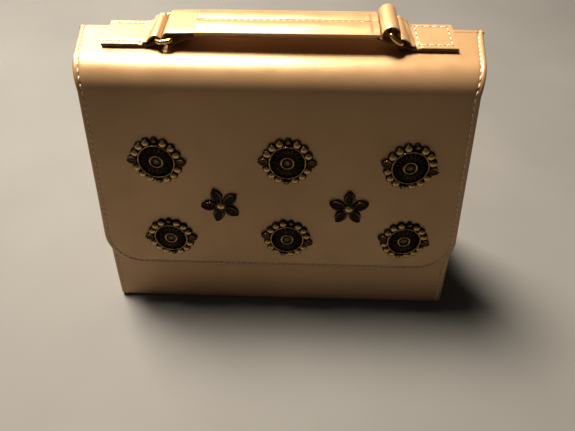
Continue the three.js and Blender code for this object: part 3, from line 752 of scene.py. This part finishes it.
def on_body(x, s, height):
    y, z = (np.interp(s, BODY_ALONG, BODY_LINE[:, k]) for k in (0, 1))
    ty, tz = (np.interp(s, BODY_ALONG, BODY_TANGENT[:, k]) for k in (0, 1))
    wave = 0.25 * math.sin(0.022 * x + 0.3) * math.sin(0.03 * s) * eased(1 - abs(z - 80) / 76)
    height = height + wave
    return (x, y + height * tz, z - height * ty)


def add_body():
    stations = [s for s in BODY_ALONG[::-1] if s > BODY_CORNER + 0.5]
    apron = Apron(body_half, on_body, 0, BODY_CORNER, stations)
    under = [(0.04, -0.9), (0.3, -LEATHER + 0.1), (0.7, -LEATHER), (6, -LEATHER)]
    skin = apron.piece("body_skin", EDGE + under, LEATHER_PAINT)
    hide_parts("front_panel", "bottom_panel", "back_panel")
    seam = stitch_piece("body_stitches", apron.seam(STITCH_INSET, STITCH_HEIGHT))
    for piece in (skin, seam):
        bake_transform(piece)


# ---- Side gussets ----


def gusset_top():
    return skin_point(back_edge, -GUSSET_INSET)[1] - 0.3


def add_gusset(side, name):
    insets = [0.1, 0.4, 0.9, 1.5, 2.1, 2.5, 2.8, 3.1, 3.5, 4.2, 6]
    top = gusset_top()
    levels = linspace(0.4, 2.4, 0.5) + linspace(4, 140, 6) + linspace(143, top - 1, 1.4) + [top]

    def row(z, inwards):
        front, back = front_y(z, GUSSET_INSET), back_y(z, GUSSET_INSET)
        depth = back - front
        fit = min(1.0, depth / 16)
        edges = [i * fit for i in insets]
        middle = list(np.linspace(edges[-1], depth - edges[-1], 9))[1:-1]
        across = edges + middle + [depth - i for i in reversed(edges)]
        points = []
        for u in across:
            near = min(u, depth - u) / fit
            sunk = 0.9 * math.sin(math.pi * u / depth) ** 2 * eased(z / 40) * eased((top - z) / 30)
            rim = 0.5 * (1 - eased((z - 0.4) / 1.6)) + 0.5 * (1 - eased((top - z) / 1.5))
            height = edge_height(near) * fit - sunk - rim - 0.25
            points.append((side * (half_width(z) + height - inwards), front + u, z))
        return points

    outer = [row(z, 0) for z in levels]
    inner = [row(z, LEATHER - 0.4) for z in levels]
    panel = shell_piece("gusset_skin_" + name, outer, inner, LEATHER_PAINT)
    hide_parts("gusset_" + name)
    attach(panel, "case")

    places = []
    for edge_y in (front_y, back_y):
        line = [
            (side * (half_width(z) - 0.5), edge_y(z, GUSSET_INSET + STITCH_INSET), z)
            for z in linspace(4, top - 6, 3)
        ]
        places += stitch_places(line, [(side, 0, 0)] * len(line), STITCH_PITCH)
    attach(stitch_piece("gusset_stitches_" + name, places), "case")


# ---- The room inside ----


def plan(z, inset, radius, steps=5):
    """A rounded rectangle round the room at a height."""
    x, front, back = half_width(z) - inset, front_y(z, inset), back_y(z, inset)
    points = []
    for cx, cy, start in ((x, back, 0), (-x, back, 90), (-x, front, 180), (x, front, 270)):
        centre = (cx - math.copysign(radius, cx), cy - radius if cy == back else cy + radius)
        for i in range(steps + 1):
            angle = rad(start + 90 * i / steps)
            points.append((centre[0] + radius * math.cos(angle), centre[1] + radius * math.sin(angle), z))
    return points


def subdivided(loop, longest=9.0):
    """The loop with extra points on its long sides."""
    dense = []
    for a, b in zip(loop, loop[1:] + loop[:1]):
        a, b = np.array(a, float), np.array(b, float)
        pieces = max(1, round(np.linalg.norm(b - a) / longest))
        dense += [a + (b - a) * i / pieces for i in range(pieces)]
    return dense


def add_binding():
    """A leather strip turned over the walls' upper edges, round the mouth of the room."""
    section = [
        (1.5, -4), (1.5, 0.1), (1.9, 0.7), (3.2, 0.95), (4.7, 0.7), (5.3, 0.1), (5.3, -5),
        (4.8, -5), (4.8, 0), (1.9, 0), (1.9, -4),
    ]
    count = 96
    loops = []
    for inset, over in section:
        flat = subdivided(plan(FRONT_TOP - 1, inset, 2.5))
        line = np.array(flat + [flat[0]])
        along = along_path(line) / along_path(line)[-1]
        even = [[np.interp(k / count, along, line[:, c]) for c in range(3)] for k in range(count)]
        loops.append([(x, y, z + over) for x, y, z in even])
    rings = np.array(loops).transpose(1, 0, 2)
    binding = tube_piece("room_binding", rings, LEATHER_PAINT, closed=True)
    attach(binding, "case")


def wall_sheet(name, wall_point, width):
    """One wall of the lining: cloth glued to a board, with a few shallow waves. wall_point gives its
    surface at (across from -1 to 1, height, inwards)."""
    levels = linspace(LINING_FLOOR, LINING_TOP - 0.3, 6)
    shares = np.linspace(-1, 1, 33)

    def wave(u, z):
        return 0.15 * math.sin(9 * u + 0.03 * z) * math.sin(0.06 * z)

    def layer(depth):
        return [[wall_point(u, z, depth + wave(u, z)) for u in shares] for z in levels]

    inside, outside = layer(LINING_INSET + LINING - 0.15), layer(LINING_INSET + 0.15)
    cloth = shell_piece(name, inside, outside, LINING_PAINT)
    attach(cloth, "case")


def add_lining():
    height = LINING_TOP - LINING_FLOOR
    long_width = 2 * half_width(0)
    mean_width = half_width(0) + half_width(LINING_TOP) - 2 * LINING_INSET
    inner = LINING_INSET + 0.4

    def front(u, z, inset):
        return (u * (half_width(z) - inner), front_y(z, inset), z)

    def back(u, z, inset):
        return (u * (half_width(z) - inner), back_y(z, inset), z)

    def left(u, z, inset):
        middle = (front_y(z, inner) + back_y(z, inner)) / 2
        return (inset - half_width(z), middle + u * (back_y(z, inner) - middle), z)

    def right(u, z, inset):
        x, y, z = left(u, z, inset)
        return (-x, y, z)

    mean_depth = back_y(height / 2, inner) - front_y(height / 2, inner)
    walls = (
        ("front", front, long_width, mean_width),
        ("back", back, long_width, mean_width),
        ("left", left, case_depth, mean_depth),
        ("right", right, case_depth, mean_depth),
    )
    for name, wall, width, mean in walls:
        wall_sheet("lining_" + name, wall, width)

    def floor_layer(z):
        xs = np.linspace(-1, 1, 41) * (half_width(z) - LINING_INSET)
        ys = np.linspace(front_y(z, LINING_INSET), back_y(z, LINING_INSET), 15)
        return [[(x, y, z + 0.1 * math.sin(0.1 * x) * math.sin(0.2 * y)) for x in xs] for y in ys]

    upper, lower = floor_layer(LINING_FLOOR), floor_layer(LINING_FLOOR - 0.7)
    floor = shell_piece("lining_floor", upper, lower, LINING_PAINT)
    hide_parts("lining")
    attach(floor, "case")


def rounding(distance, edge):
    """A quarter circle: 0 at an edge, 1 from a distance of edge inwards."""
    return math.sqrt(max(0.0, 1 - (1 - min(distance / edge, 1)) ** 2))


def pillow(name, levels, place, half):
    """A flat padded piece: place(x share, z, outwards) from its middle plane, rounded at all edges."""
    shares = np.linspace(0, 1, 41)
    edge = 2.0

    def layer(side):
        rows = []
        for z in levels:
            row = []
            for share in shares:
                x = place(share, z, 0)[0]
                ends = min(share, 1 - share) * abs(place(0, z, 0)[0] - place(1, z, 0)[0])
                round_off = rounding(ends, edge) * rounding(min(levels[-1] - z, z - levels[0]), edge)
                soft = 1 + 0.05 * math.sin(0.13 * x + 0.05 * z) + 0.04 * math.sin(0.09 * z - 0.07 * x)
                row.append(place(share, z, side * half * max(round_off, 0.02) * soft))
            rows.append(row)
        return rows

    piece = shell_piece(name, layer(1), layer(-1), VELVET_PAINT, sharp=80)
    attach(piece, "case")
    return piece


def fine_ends(low, high, step):
    """Stations that are close together near both ends."""
    near = [0, 0.15, 0.5, 1.0, 1.6]
    middle = linspace(low + 2.4, high - 2.4, step)
    return [low + n for n in near] + middle + [high - n for n in reversed(near)]


def add_divider():
    low, high = (np.array(c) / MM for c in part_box("divider"))
    middle, thick = (low[1] + high[1]) / 2, high[1] - low[1]

    def place(share, z, out):
        half = half_width(z) - LINING_INSET - LINING - 0.4
        return (half * (2 * share - 1), middle + out, z)

    levels = fine_ends(low[2] + 0.02, high[2] - 0.02, 7)
    piece = pillow("velvet_divider", levels, place, thick / 2 - 0.05)
    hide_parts("divider")


def add_necklace_panel():
    low, high = (np.array(c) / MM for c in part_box("necklace_panel"))
    inset = PANEL_INSET + PANEL_THICKNESS / 2

    def place(share, z, out):
        half = min(half_width(z) - LINING_INSET - LINING - 4.2, high[0])
        y = back_y(z, inset + out * math.cos(BACK_LEAN))
        return (half * (2 * share - 1), y, z + out * math.sin(BACK_LEAN))

    levels = fine_ends(low[2] + 0.3, high[2] - 0.3, 7)
    piece = pillow("velvet_necklace_panel", levels, place, PANEL_THICKNESS / 2)
    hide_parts("necklace_panel")


def add_ring_rolls():
    """Three soft rolls side by side, with creases where the rings are pushed in between."""
    for number in (1, 2, 3):
        low, high = (np.array(c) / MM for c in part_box(f"ring_roll_{number}"))
        middle, radius = (low + high) / 2, (high[2] - low[2]) / 2
        rings = []
        for x in fine_ends(low[0], high[0], 2.5):
            round_off = rounding(min(x - low[0], high[0] - x), 2.5)
            ring = []
            for k in range(24):
                angle = 2 * math.pi * k / 24
                swell = 0.985 + 0.015 * math.sin(0.35 * x + 2 * angle + number) * math.sin(3 * angle)
                reach = radius * (0.25 + 0.75 * round_off) * swell
                ring.append((x, middle[1] + reach * math.cos(angle), middle[2] + reach * math.sin(angle)))
            rings.append(ring)
        roll = tube_piece(f"velvet_roll_{number}", rings, VELVET_PAINT, sharp=80)
        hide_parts(f"ring_roll_{number}")
        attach(roll, "case")


def add_pegs():
    profile = [
        (0, 0), (1.5, 0), (1.5, 4.6), (1.7, 5), (2.5, 5.3),
        (2.9, 5.9), (2.9, 6.3), (2.4, 6.8), (1.4, 7), (0, 7.05),
    ]
    upright = Matrix.Rotation(math.pi / 2 - BACK_LEAN, 4, "X")
    for number in (1, 2, 3, 4):
        low, high = (np.array(c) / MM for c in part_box(f"necklace_peg_{number}"))
        x, z = (low[0] + high[0]) / 2, (low[2] + high[2]) / 2
        inset = PANEL_INSET - 0.05 + PANEL_THICKNESS
        turn = Matrix.Translation((x, back_y(z, inset) + 0.4, z)) @ upright
        points, faces = turned_mesh(profile, 24)
        peg = make_piece(f"polished_peg_{number}", placed(turn, points), faces, GOLD_PAINT, sharp=60)
        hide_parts(f"necklace_peg_{number}")
        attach(peg, "case")


def add_pocket():
    """Cloth gathered along an elastic in its upper hem."""
    low, high = (np.array(c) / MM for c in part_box("elastic_pocket"))
    back, front = PANEL_INSET + PANEL_THICKNESS, 17.2
    corner = 4
    plan_line = [(low[0] + 0.8, back)] + [
        (low[0] + 0.8 + corner * (1 - math.cos(a)), front - corner * (1 - math.sin(a)))
        for a in np.linspace(0, math.pi / 2, 7)
    ]
    plan_line += [(x, front) for x in linspace(low[0] + 0.8 + corner, -0.9, 0.9)[1:]]
    plan_line += [(-x, inset) for x, inset in reversed(plan_line)]
    line = np.array(plan_line)
    along = along_path(line)
    tangent = unit_tangents(line, along)
    levels = linspace(low[2] + 0.1, 44, 3) + linspace(46, high[2] - 0.1, 1.3)

    def layer(out):
        rows = []
        for z in levels:
            gather = 0.15 + 0.5 * eased((z - 30) / 24)
            cord = 0.25 * bump(z, high[2] - 3.2, 1.2)
            row = []
            for (x, inset), (tx, ti), s in zip(line, tangent, along):
                ends = eased(min(s, along[-1] - s) / 6)
                ripple = gather * math.sin(2 * math.pi * s / 6.3 + 0.5 * math.sin(0.35 * s)) * ends + cord
                offset = out + ripple
                row.append((x - offset * ti, back_y(z, inset + offset * tx), z))
            rows.append(row)
        return rows

    cloth = shell_piece("gathered_pocket", layer(0.4), layer(-0.35), LINING_PAINT, sharp=80)
    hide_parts("elastic_pocket")
    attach(cloth, "case")


# ---- Ornaments ----


def with_wear(piece, matrix, low, high):
    """Stores how far each point stands up, which the brass paint reads."""
    back = np.array(matrix.inverted(), float)
    points = np.array([v.co for v in piece.data.vertices], float) / MM
    heights = points @ back[2, :3] + back[2, 3]
    raised = np.clip((heights - low) / (high - low), 0, 1).astype(np.float32)
    piece.data.attributes.new("raised", "FLOAT", "POINT").data.foreach_set("value", raised)


def ornament_place(name, turn):
    """The frame of an ornament on the flap: its own z points straight out of the leather."""
    low, high = (np.array(corner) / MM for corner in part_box("nut_" + name))
    out = np.array([0, -math.cos(FRONT_LEAN), math.sin(FRONT_LEAN)])
    nut_to_leather = 2.25
    nut = (low + high) / 2
    distance = nut[2] / math.cos(FRONT_LEAN)
    place = nut + out * (nut_to_leather + waviness(nut[0], distance))
    tilt = Matrix.Rotation(math.pi / 2 - FRONT_LEAN, 4, "X")
    return Matrix.Translation(place) @ tilt @ Matrix.Rotation(turn, 4, "Z")


def dome(radius, height, low, x=0.0, sides=16):
    """Part of a ball that stands on a skirt."""
    steps = 5
    profile = [(0, low), (radius * 0.92, low), (radius, low + 0.35)]
    rise = height - low - 0.35
    for i in range(1, steps + 1):
        angle = math.pi / 2 * i / steps
        profile.append((radius * math.cos(angle), low + 0.35 + rise * math.sin(angle)))
    points, faces = turned_mesh(profile, sides)
    points[:, 0] += x
    return points, faces


def hoop(radius, thickness, z, sides=40, section=8):
    points = []
    for i in range(sides):
        a = 2 * math.pi * i / sides
        for k in range(section):
            b = 2 * math.pi * k / section
            r = radius + thickness * math.cos(b)
            points.append((r * math.cos(a), r * math.sin(a), z + thickness * math.sin(b)))
    return np.array(points), tube_faces(sides, section, closed=True)


def leaf(start, end, width, low, high, rim, steps=10, belly=0.45):
    """A pointed leaf along x, with a raised rim and midrib. It is widest at belly of its length."""
    across = [-1, -0.86, -0.68, -0.4, -0.12, 0, 0.12, 0.4, 0.68, 0.86, 1]
    top = []
    for i in range(steps + 1):
        u = i / steps
        swell = math.sin(math.pi * u ** math.log(0.5, belly)) ** 0.8 if 0 < u < 1 else 0.0
        half = max(width / 2 * swell, 0.04)
        row = []
        for v in across:
            height = rim * (bump(abs(v), 0.8, 0.2) + 0.55 * bump(v, 0, 0.14)) - 0.25 * (1 - abs(v))
            drop = 0.5 * eased((abs(v) - 0.86) / 0.14)
            z = high + height * eased(swell * 2.2) - drop
            row.append((start + (end - start) * u, half * v, z))
        top.append(row)
    top = np.array(top)
    under = top.copy()
    under[:, :, 2] = low
    return shell_mesh(top, under, flip=True)


def spun(part, angle):
    points, faces = part
    return placed(Matrix.Rotation(angle, 4, "Z"), points), faces


def rosette_parts():
    """A plate with two wire hoops, a ring of narrow leaves, and beads and two points round its rim."""
    profile = [
        (0, 0.05), (12.6, 0.05), (13, 0.5), (12.6, 1.0), (10.6, 1.0), (10.2, 1.5), (9.4, 1.5),
        (9.1, 0.9), (4.2, 1.3), (3.9, 1.6), (2.9, 1.6), (2.6, 1.3), (0, 1.3),
    ]
    plate = turned_mesh(profile, 64)
    parts = [plate, hoop(9.8, 0.4, 1.6, 64), hoop(3.4, 0.36, 1.75, 32), dome(2.3, 1.75, 0.9)]
    rays = 20
    for i in range(rays):
        ray = leaf(4.3, 9.0, 1.75, 0.6, 1.45, rim=0.25, steps=6)
        parts.append(spun(ray, 2 * math.pi * i / rays))
    slots = 16
    for i in range(slots):
        angle = 2 * math.pi * i / slots
        if i % 8 == 0:
            parts.append(spun(leaf(10.6, 16.2, 5.4, 0.1, 1.6, rim=0.4, belly=0.42), angle))
        else:
            radius = 1.9 if i % 8 == 4 else 2.5
            parts.append(spun(dome(radius, radius, 0.1, x=14.5 - radius), angle))
    return parts


def flower_parts():
    """Five petals round a domed middle."""
    parts = [dome(2.6, 2.7, 0.6), hoop(2.9, 0.4, 1.3, 24)]
    for i in range(5):
        petal = leaf(1.6, 12, 6.9, 0.1, 1.3, rim=0.55, steps=14, belly=0.5)
        parts.append(spun(petal, math.pi / 2 + 2 * math.pi * i / 5))
    parts.append(turned_mesh([(0, 0.08), (3.9, 0.08), (3.9, 0.8), (0, 1.0)], 32))
    return parts


# Degrees by which each ornament is turned on its screw.
TURNS = {
    "rosette_top_left": -3,
    "rosette_top_middle": -2,
    "rosette_top_right": -9,
    "rosette_bottom_left": -1,
    "rosette_bottom_middle": -11,
    "rosette_bottom_right": -7,
    "flower_left": 20,
    "flower_right": 0,
}


def add_ornaments():
    for name, turn in TURNS.items():
        place = ornament_place(name, rad(turn))
        points, faces = joined(rosette_parts() if name.startswith("rosette") else flower_parts())
        piece = make_piece("detailed_" + name, placed(place, points), faces, OLD_BRASS, sharp=60)
        with_wear(piece, place, 0.8, 2.1)
        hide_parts(name)
        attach(piece, "flap_front")


# ---- Tabs, rings and handle, in a frame that lies on the flap's top ----

strap_y, strap_z, _ = skin_point(back_edge - STRAP_INSET, FLAP_OUTSIDE)
STRAP = Matrix.Translation((0, strap_y, strap_z)) @ Matrix.Rotation(TOP_SLOPE, 4, "X")


def strap_section(half, thickness, edges=True, columns=7):
    """A strap's closed section as (across, outwards), with raised stitched edges on its outer side."""
    insets = [0.0, 0.25, 0.6, 1.1, 1.6, 2.0, 2.3, 2.6, 2.9, 3.5] if edges else [0.0, 0.25, 0.6]
    top = []
    for inset in insets:
        rolled = edge_height(inset + 0.15) * 0.7 if edges else -0.3 * (1 - inset / 0.6) ** 2
        top.append((half - inset, thickness / 2 + rolled))
    inner = half - insets[-1]
    field = [(v, thickness / 2) for v in np.linspace(inner, -inner, columns)[1:-1]]
    low = [(-half, -thickness / 2 + 0.15), (-half + 0.2, -thickness / 2)]
    under = [(v, -thickness / 2) for v in np.linspace(-half + 0.2, half - 0.2, columns)[1:-1]]
    mirrored = [(-v, h) for v, h in reversed(top)]
    return top + field + mirrored + low + under + [(-v, h) for v, h in reversed(low)]


def ribbon(path, section, lift=None):
    """Rings of a section along a path of (x, z); outwards is to the right of the path. lift(x, v,
    share of the path) adds height."""
    path = np.array(path, float)
    tangent = unit_tangents(path, along_path(path))
    rings = []
    for i, ((x, z), (tx, tz)) in enumerate(zip(path, tangent)):
        ring = []
        for v, h in section:
            extra = lift(x, v, i / (len(path) - 1)) if lift and h > 0 else 0.0
            ring.append((x + (h + extra) * tz, v, z - (h + extra) * tx))
        rings.append(ring)
    return np.array(rings)


def ease_between(start, end, steps):
    """Points on a smooth step from one place to another."""
    (x0, z0), (x1, z1) = start, end
    return [(x0 + (x1 - x0) * i / steps, z0 + (z1 - z0) * eased(i / steps)) for i in range(steps + 1)]


def arc(x, z, radius, start, end, steps):
    angles = np.linspace(rad(start), rad(end), steps + 1)
    return [(x + radius * math.cos(a), z + radius * math.sin(a)) for a in angles]


def paint_raw_edges(strap):
    """Gives both long edges of a strap its second paint."""
    back = np.array(STRAP.inverted(), float)
    for face in strap.data.polygons:
        centre = placed(back, np.array(face.center) / MM)
        normal = back[:3, :3] @ np.array(face.normal)
        if abs(normal[1]) > 0.75 and abs(centre[1]) > STRAP_HALF - 0.4:
            face.material_index = 1


def tab_path():
    """Along the lower layer, round the ring's bar and back along the upper layer."""
    low = TAB_GAP + TAB_LEATHER / 2
    high = low + TAB_LEATHER + TAB_GAP
    loop = RING_WIRE + 0.5 + TAB_LEATHER / 2
    x, z = -RING_PIVOT_X, RING_PIVOT_Z
    flat = [(px, low) for px in linspace(-TAB_END, -TAB_NECK - 2, 1.6)]
    back_flat = [(px, high) for px, _ in reversed(flat)]
    under = ease_between((-TAB_NECK, low), (x, z - loop), 10)
    over = ease_between((x, z + loop), (-TAB_NECK, high), 14)
    return flat + under + arc(x, z, loop, -90, 90, 18)[1:-1] + over + back_flat


def tab_creases(x, v, share):
    """The strap is drawn in towards its loop: two soft folds across its upper layer."""
    if share < 0.5:
        return 0.0
    slant = x - 0.12 * v
    folds = ((-0.45, -66.6, 0.8), (0.4, -64.9, 0.8), (-0.35, -63.4, 0.7))
    height = sum(depth * bump(slant, middle, width) for depth, middle, width in folds)
    return height * (1 + 0.3 * math.sin(0.45 * v))


def add_tab(side, name):
    rings = ribbon(tab_path(), strap_section(STRAP_HALF, TAB_LEATHER), tab_creases)
    rings[:, :, 0] *= -side
    tab = tube_piece("strap_tab_" + name, placed(STRAP, rings), LEATHER_PAINT, RAW_EDGE)
    paint_raw_edges(tab)
    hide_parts("tab_" + name)
    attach(tab, "flap_top")
    add_tab_core(side, name)
    add_tab_stitches(side, name)


def add_tab_core(side, name):
    """The light core between the two layers."""
    middle = TAB_GAP + TAB_LEATHER + TAB_GAP / 2
    path = [(-TAB_END - 0.05, middle), (-TAB_NECK, middle), (-TAB_NECK + 2.5, middle + 0.25)]
    rings = ribbon(path, strap_section(STRAP_HALF + 0.08, 0.42, edges=False))
    rings[:, :, 0] *= -side
    core = tube_piece("tab_core_" + name, placed(STRAP, rings), CORE_PAINT)
    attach(core, "flap_top")


def add_tab_stitches(side, name):
    """A box of stitches through both layers, with near-black domes at the holes they pass through: painted
    shade in the holes.
    """
    top = 2 * (TAB_GAP + TAB_LEATHER)
    x0, x1, half = TAB_END - 2.6, TAB_NECK + 0.9, STRAP_HALF - 2.6
    corners = [(x0, -half), (x1, -half), (x1, half), (x0, half)]
    threads, shaded_holes = [], []
    for corner, following in zip(corners, corners[1:] + corners[:1]):
        start, end = (np.array((side * x, y, top - 0.12)) for x, y in (corner, following))
        count = round(math.dist(start, end) / TAB_PITCH)
        step = (end - start) / count
        for i in range(count):
            threads.append((start + step * (i + 0.5), step, (0, 0, 1)))
            # Each hole is a near-black dome on the leather: painted shade, not a cut hole.
            points, faces = dome(0.42, 0.12, -0.4, sides=8)
            shaded_holes.append((points + start + step * i + [0, 0, 0.08], faces))
    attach(stitch_piece("tab_stitches_" + name, threads, 2.5, 0.3, STRAP), "flap_top")
    points, faces = joined(shaded_holes)
    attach(make_piece("tab_hole_shade_" + name, placed(STRAP, points), faces, HOLE_SHADE_PAINT, sharp=80), "flap_top")


def add_ring(side, name):
    """A rectangular wire ring, bent at its four corners."""
    half_span = STRAP_HALF + 0.8 + RING_WIRE
    bend = 3
    far, wide = RING_REACH - bend, half_span - bend
    corners = [(far, wide, 0), (bend, wide, 90), (bend, -wide, 180), (far, -wide, 270)]
    rings = []
    for x, y, start in corners:
        for i in range(9):
            a = rad(start + 90 * i / 8)
            ring = []
            for k in range(16):
                b = 2 * math.pi * k / 16
                out = bend + RING_WIRE * math.cos(b)
                ring.append((x + math.cos(a) * out, y + math.sin(a) * out, RING_WIRE * math.sin(b)))
            rings.append(ring)
    rings = np.array(rings)
    tilt = Matrix.Rotation(-RING_TILTS[name], 4, "Y")
    turn = Matrix.Rotation(0 if side < 0 else math.pi, 4, "Z") @ tilt
    place = STRAP @ Matrix.Translation((side * RING_PIVOT_X, 0, RING_PIVOT_Z)) @ turn
    ring = tube_piece("wire_ring_" + name, placed(place, rings), GOLD_PAINT, closed=True)
    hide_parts("ring_" + name)
    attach(ring, name + "_ring")


def crown(v, x):
    """Height of the padded top over the side band, at v across and x along the handle."""
    share = min(abs(v) / STRAP_HALF + 0.12, 1)
    padding = 1.5 * math.sin(math.pi * share) ** 0.6
    groove = -0.4 * bump(v, 0, 0.4)
    ends = eased((x - HANDLE_LEFT) / 1.8 + 0.35) * (0.75 + 0.25 * eased((PAD_END - x) / 1.6 + 0.5))
    soft = 0.12 * math.sin(0.11 * x + 0.4 * math.copysign(1, v)) + 0.05 * math.sin(0.43 * x)
    return (padding + groove + soft * math.sin(math.pi * share)) * ends


def add_handle():
    """A padded cover with a seam down the middle of its top, and a flat underside."""
    half, top = STRAP_HALF, HANDLE_HOVER + HANDLE_EDGE
    across = [10.75, 10.3, 9.6, 8.4, 6.8, 5, 3.4, 2.2, 1.4, 0.9, 0.5, 0.2]
    across = across + [0] + [-v for v in reversed(across)]
    band = [
        (half, top - 0.45),
        (half - 0.25, top - 1.3),
        (half - 0.6, HANDLE_HOVER + 0.8),
        (half - 1, HANDLE_HOVER + 0.2),
        (half - 1.6, HANDLE_HOVER),
    ]
    below = [(-v, z) for v, z in band]
    below += [(v, HANDLE_HOVER) for v in np.linspace(-half + 1.6, half - 1.6, 9)[1:-1]]
    below += reversed(band)
    stations = linspace(HANDLE_LEFT, HANDLE_LEFT + 4, 0.4) + linspace(HANDLE_LEFT + 5.5, PAD_END - 4, 2)
    stations += linspace(PAD_END - 3, PAD_END + 3, 0.4) + linspace(PAD_END + 3.8, HANDLE_RIGHT, 0.9)
    rings = [
        [(x, v, top + crown(v, x)) for v in across] + [(x, v, z) for v, z in below] for x in stations
    ]
    pad = tube_piece("handle_pad", placed(STRAP, rings), LEATHER_PAINT)
    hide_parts("handle_cover", "handle_core")
    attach(pad, "handle")
    add_handle_seam(top)
    add_loops()


def add_handle_seam(top):
    """The seam that closes the cover, down the middle of its top."""
    line = [(x, 0, top + crown(0, x) + 0.05) for x in linspace(HANDLE_LEFT + 2, PAD_END - 1, 2)]
    places = stitch_places(line, [(0, 0, 1)] * len(line), HANDLE_PITCH)
    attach(stitch_piece("handle_stitches", places, 2.3, 0.26, STRAP), "handle")


def handle_bar(side, tilt):
    """The middle of the ring's bar that holds the handle, as (x, z)."""
    reach, rise = RING_REACH * math.cos(tilt), RING_REACH * math.sin(tilt)
    return side * (RING_PIVOT_X - reach), RING_PIVOT_Z + rise


def left_loop():
    """A flat fold over the left ring's bar."""
    x, z = handle_bar(-1, RING_TILTS["left"])
    x -= 1.6
    radius = RING_WIRE + 1.4 + LOOP_LEATHER / 2
    end = HANDLE_LEFT + 0.4
    over = ease_between((end, HANDLE_HOVER + HANDLE_EDGE - 0.35), (x, z + radius), 12)
    under = ease_between((x, z - radius), (end, HANDLE_HOVER + LOOP_LEATHER / 2 + 0.1), 12)
    return over + arc(x, z, radius, 90, 270, 20)[1:-1] + under


def right_loop():
    """A wide round roll over the right ring's bar."""
    x, z = handle_bar(1, RING_TILTS["right"])
    radius = RING_WIRE + 2.4 + LOOP_LEATHER / 2
    start = [(HANDLE_RIGHT - 1.2, HANDLE_HOVER + 0.8), (HANDLE_RIGHT + 0.2, HANDLE_HOVER + 0.6)]
    return start + arc(x + 0.5, z - 0.6, radius, -95, 205, 44)


def add_loops():
    section = strap_section(STRAP_HALF, LOOP_LEATHER, edges=False)
    for name, path in (("left", left_loop()), ("right", right_loop())):
        rings = ribbon(path, section)
        loop = tube_piece("strap_loop_" + name, placed(STRAP, rings), LEATHER_PAINT, RAW_EDGE)
        paint_raw_edges(loop)
        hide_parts("handle_loop_" + name)
        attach(loop, "handle")


# ---- Camera, floor and light ----

CAMERA_PLACE = (0.01126, -0.20782, 0.28043)
CAMERA_HEADING, CAMERA_TILT, CAMERA_ROLL = rad(1.9), rad(41.5), rad(-0.09)
CAMERA_LENS = 28.17
FLOOR_HALF = 3
FLOOR_TINTS = (0.125, 0.124, 0.122), (0.145, 0.144, 0.142)
LIGHT_AIM = (0, 0, 0.1)
WORLD_COLOR = (1, 0.9, 0.78, 1)
WORLD_STRENGTH = 0.035


def add_camera():
    data = bpy.data.cameras.new("camera")
    data.lens, data.sensor_width = CAMERA_LENS, 36
    camera = bpy.data.objects.new("camera", data)
    camera.location = CAMERA_PLACE
    look = Matrix.Rotation(CAMERA_HEADING, 4, "Z") @ Matrix.Rotation(CAMERA_TILT, 4, "X")
    camera.rotation_euler = (look @ Matrix.Rotation(CAMERA_ROLL, 4, "Z")).to_euler()
    data.clip_start = 0.01
    bpy.context.scene.collection.objects.link(camera)
    bpy.context.scene.camera = camera


def add_floor():
    material, tree, skin = paint_tree("floor_paint")
    dark, light = FLOOR_TINTS
    tint = ramp(tree, noise(tree, 6, 3), [(0.3, dark), (0.7, light)])
    tree.links.new(tint, skin.inputs["Base Color"])
    skin.inputs["Roughness"].default_value = 0.75
    corners = [(x * FLOOR_HALF, y * FLOOR_HALF, 0) for x, y in ((-1, -1), (1, -1), (1, 1), (-1, 1))]
    mesh = bpy.data.meshes.new("floor")
    mesh.from_pydata(corners, [], [[0, 1, 2, 3]])
    mesh.materials.append(material)
    floor = bpy.data.objects.new("floor", mesh)
    bpy.context.scene.collection.objects.link(floor)
    floor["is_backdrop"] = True


def add_light(name, place, size, power, color):
    data = bpy.data.lights.new(name, "AREA")
    data.size, data.energy, data.color = size, power, color
    light = bpy.data.objects.new(name, data)
    light.location = place
    light.rotation_euler = (Vector(LIGHT_AIM) - Vector(place)).to_track_quat("-Z", "Y").to_euler()
    bpy.context.scene.collection.objects.link(light)


def add_lights():
    """A lamp high over the case's back, a softer one behind its left side and a faint fill in front."""
    add_light("key", (-0.3, 0.34, 1.12), 0.36, 46, (1, 0.88, 0.72))
    add_light("back", (-0.8, 0.8, 0.8), 0.6, 9, (1, 0.9, 0.76))
    add_light("fill", (-0.7, -0.9, 0.9), 1.2, 0.3, (1, 0.93, 0.85))
    world = bpy.data.worlds.new("world")
    world.use_nodes = True
    background = world.node_tree.nodes["Background"]
    background.inputs["Color"].default_value = WORLD_COLOR
    background.inputs["Strength"].default_value = WORLD_STRENGTH
    bpy.context.scene.world = world
    bpy.context.scene.view_settings.view_transform = "Standard"


add_camera()
add_floor()
add_lights()
paint_frame()
add_body()
add_gusset(-1, "left")
add_gusset(1, "right")
add_binding()
add_lining()
add_divider()
add_necklace_panel()
add_ring_rolls()
add_pegs()
add_pocket()
add_flap()
add_ornaments()
for side, name in ((-1, "left"), (1, "right")):
    add_tab(side, name)
    add_ring(side, name)
add_handle()

[[list(corner) for corner in box] for box in (cad_box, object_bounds())]
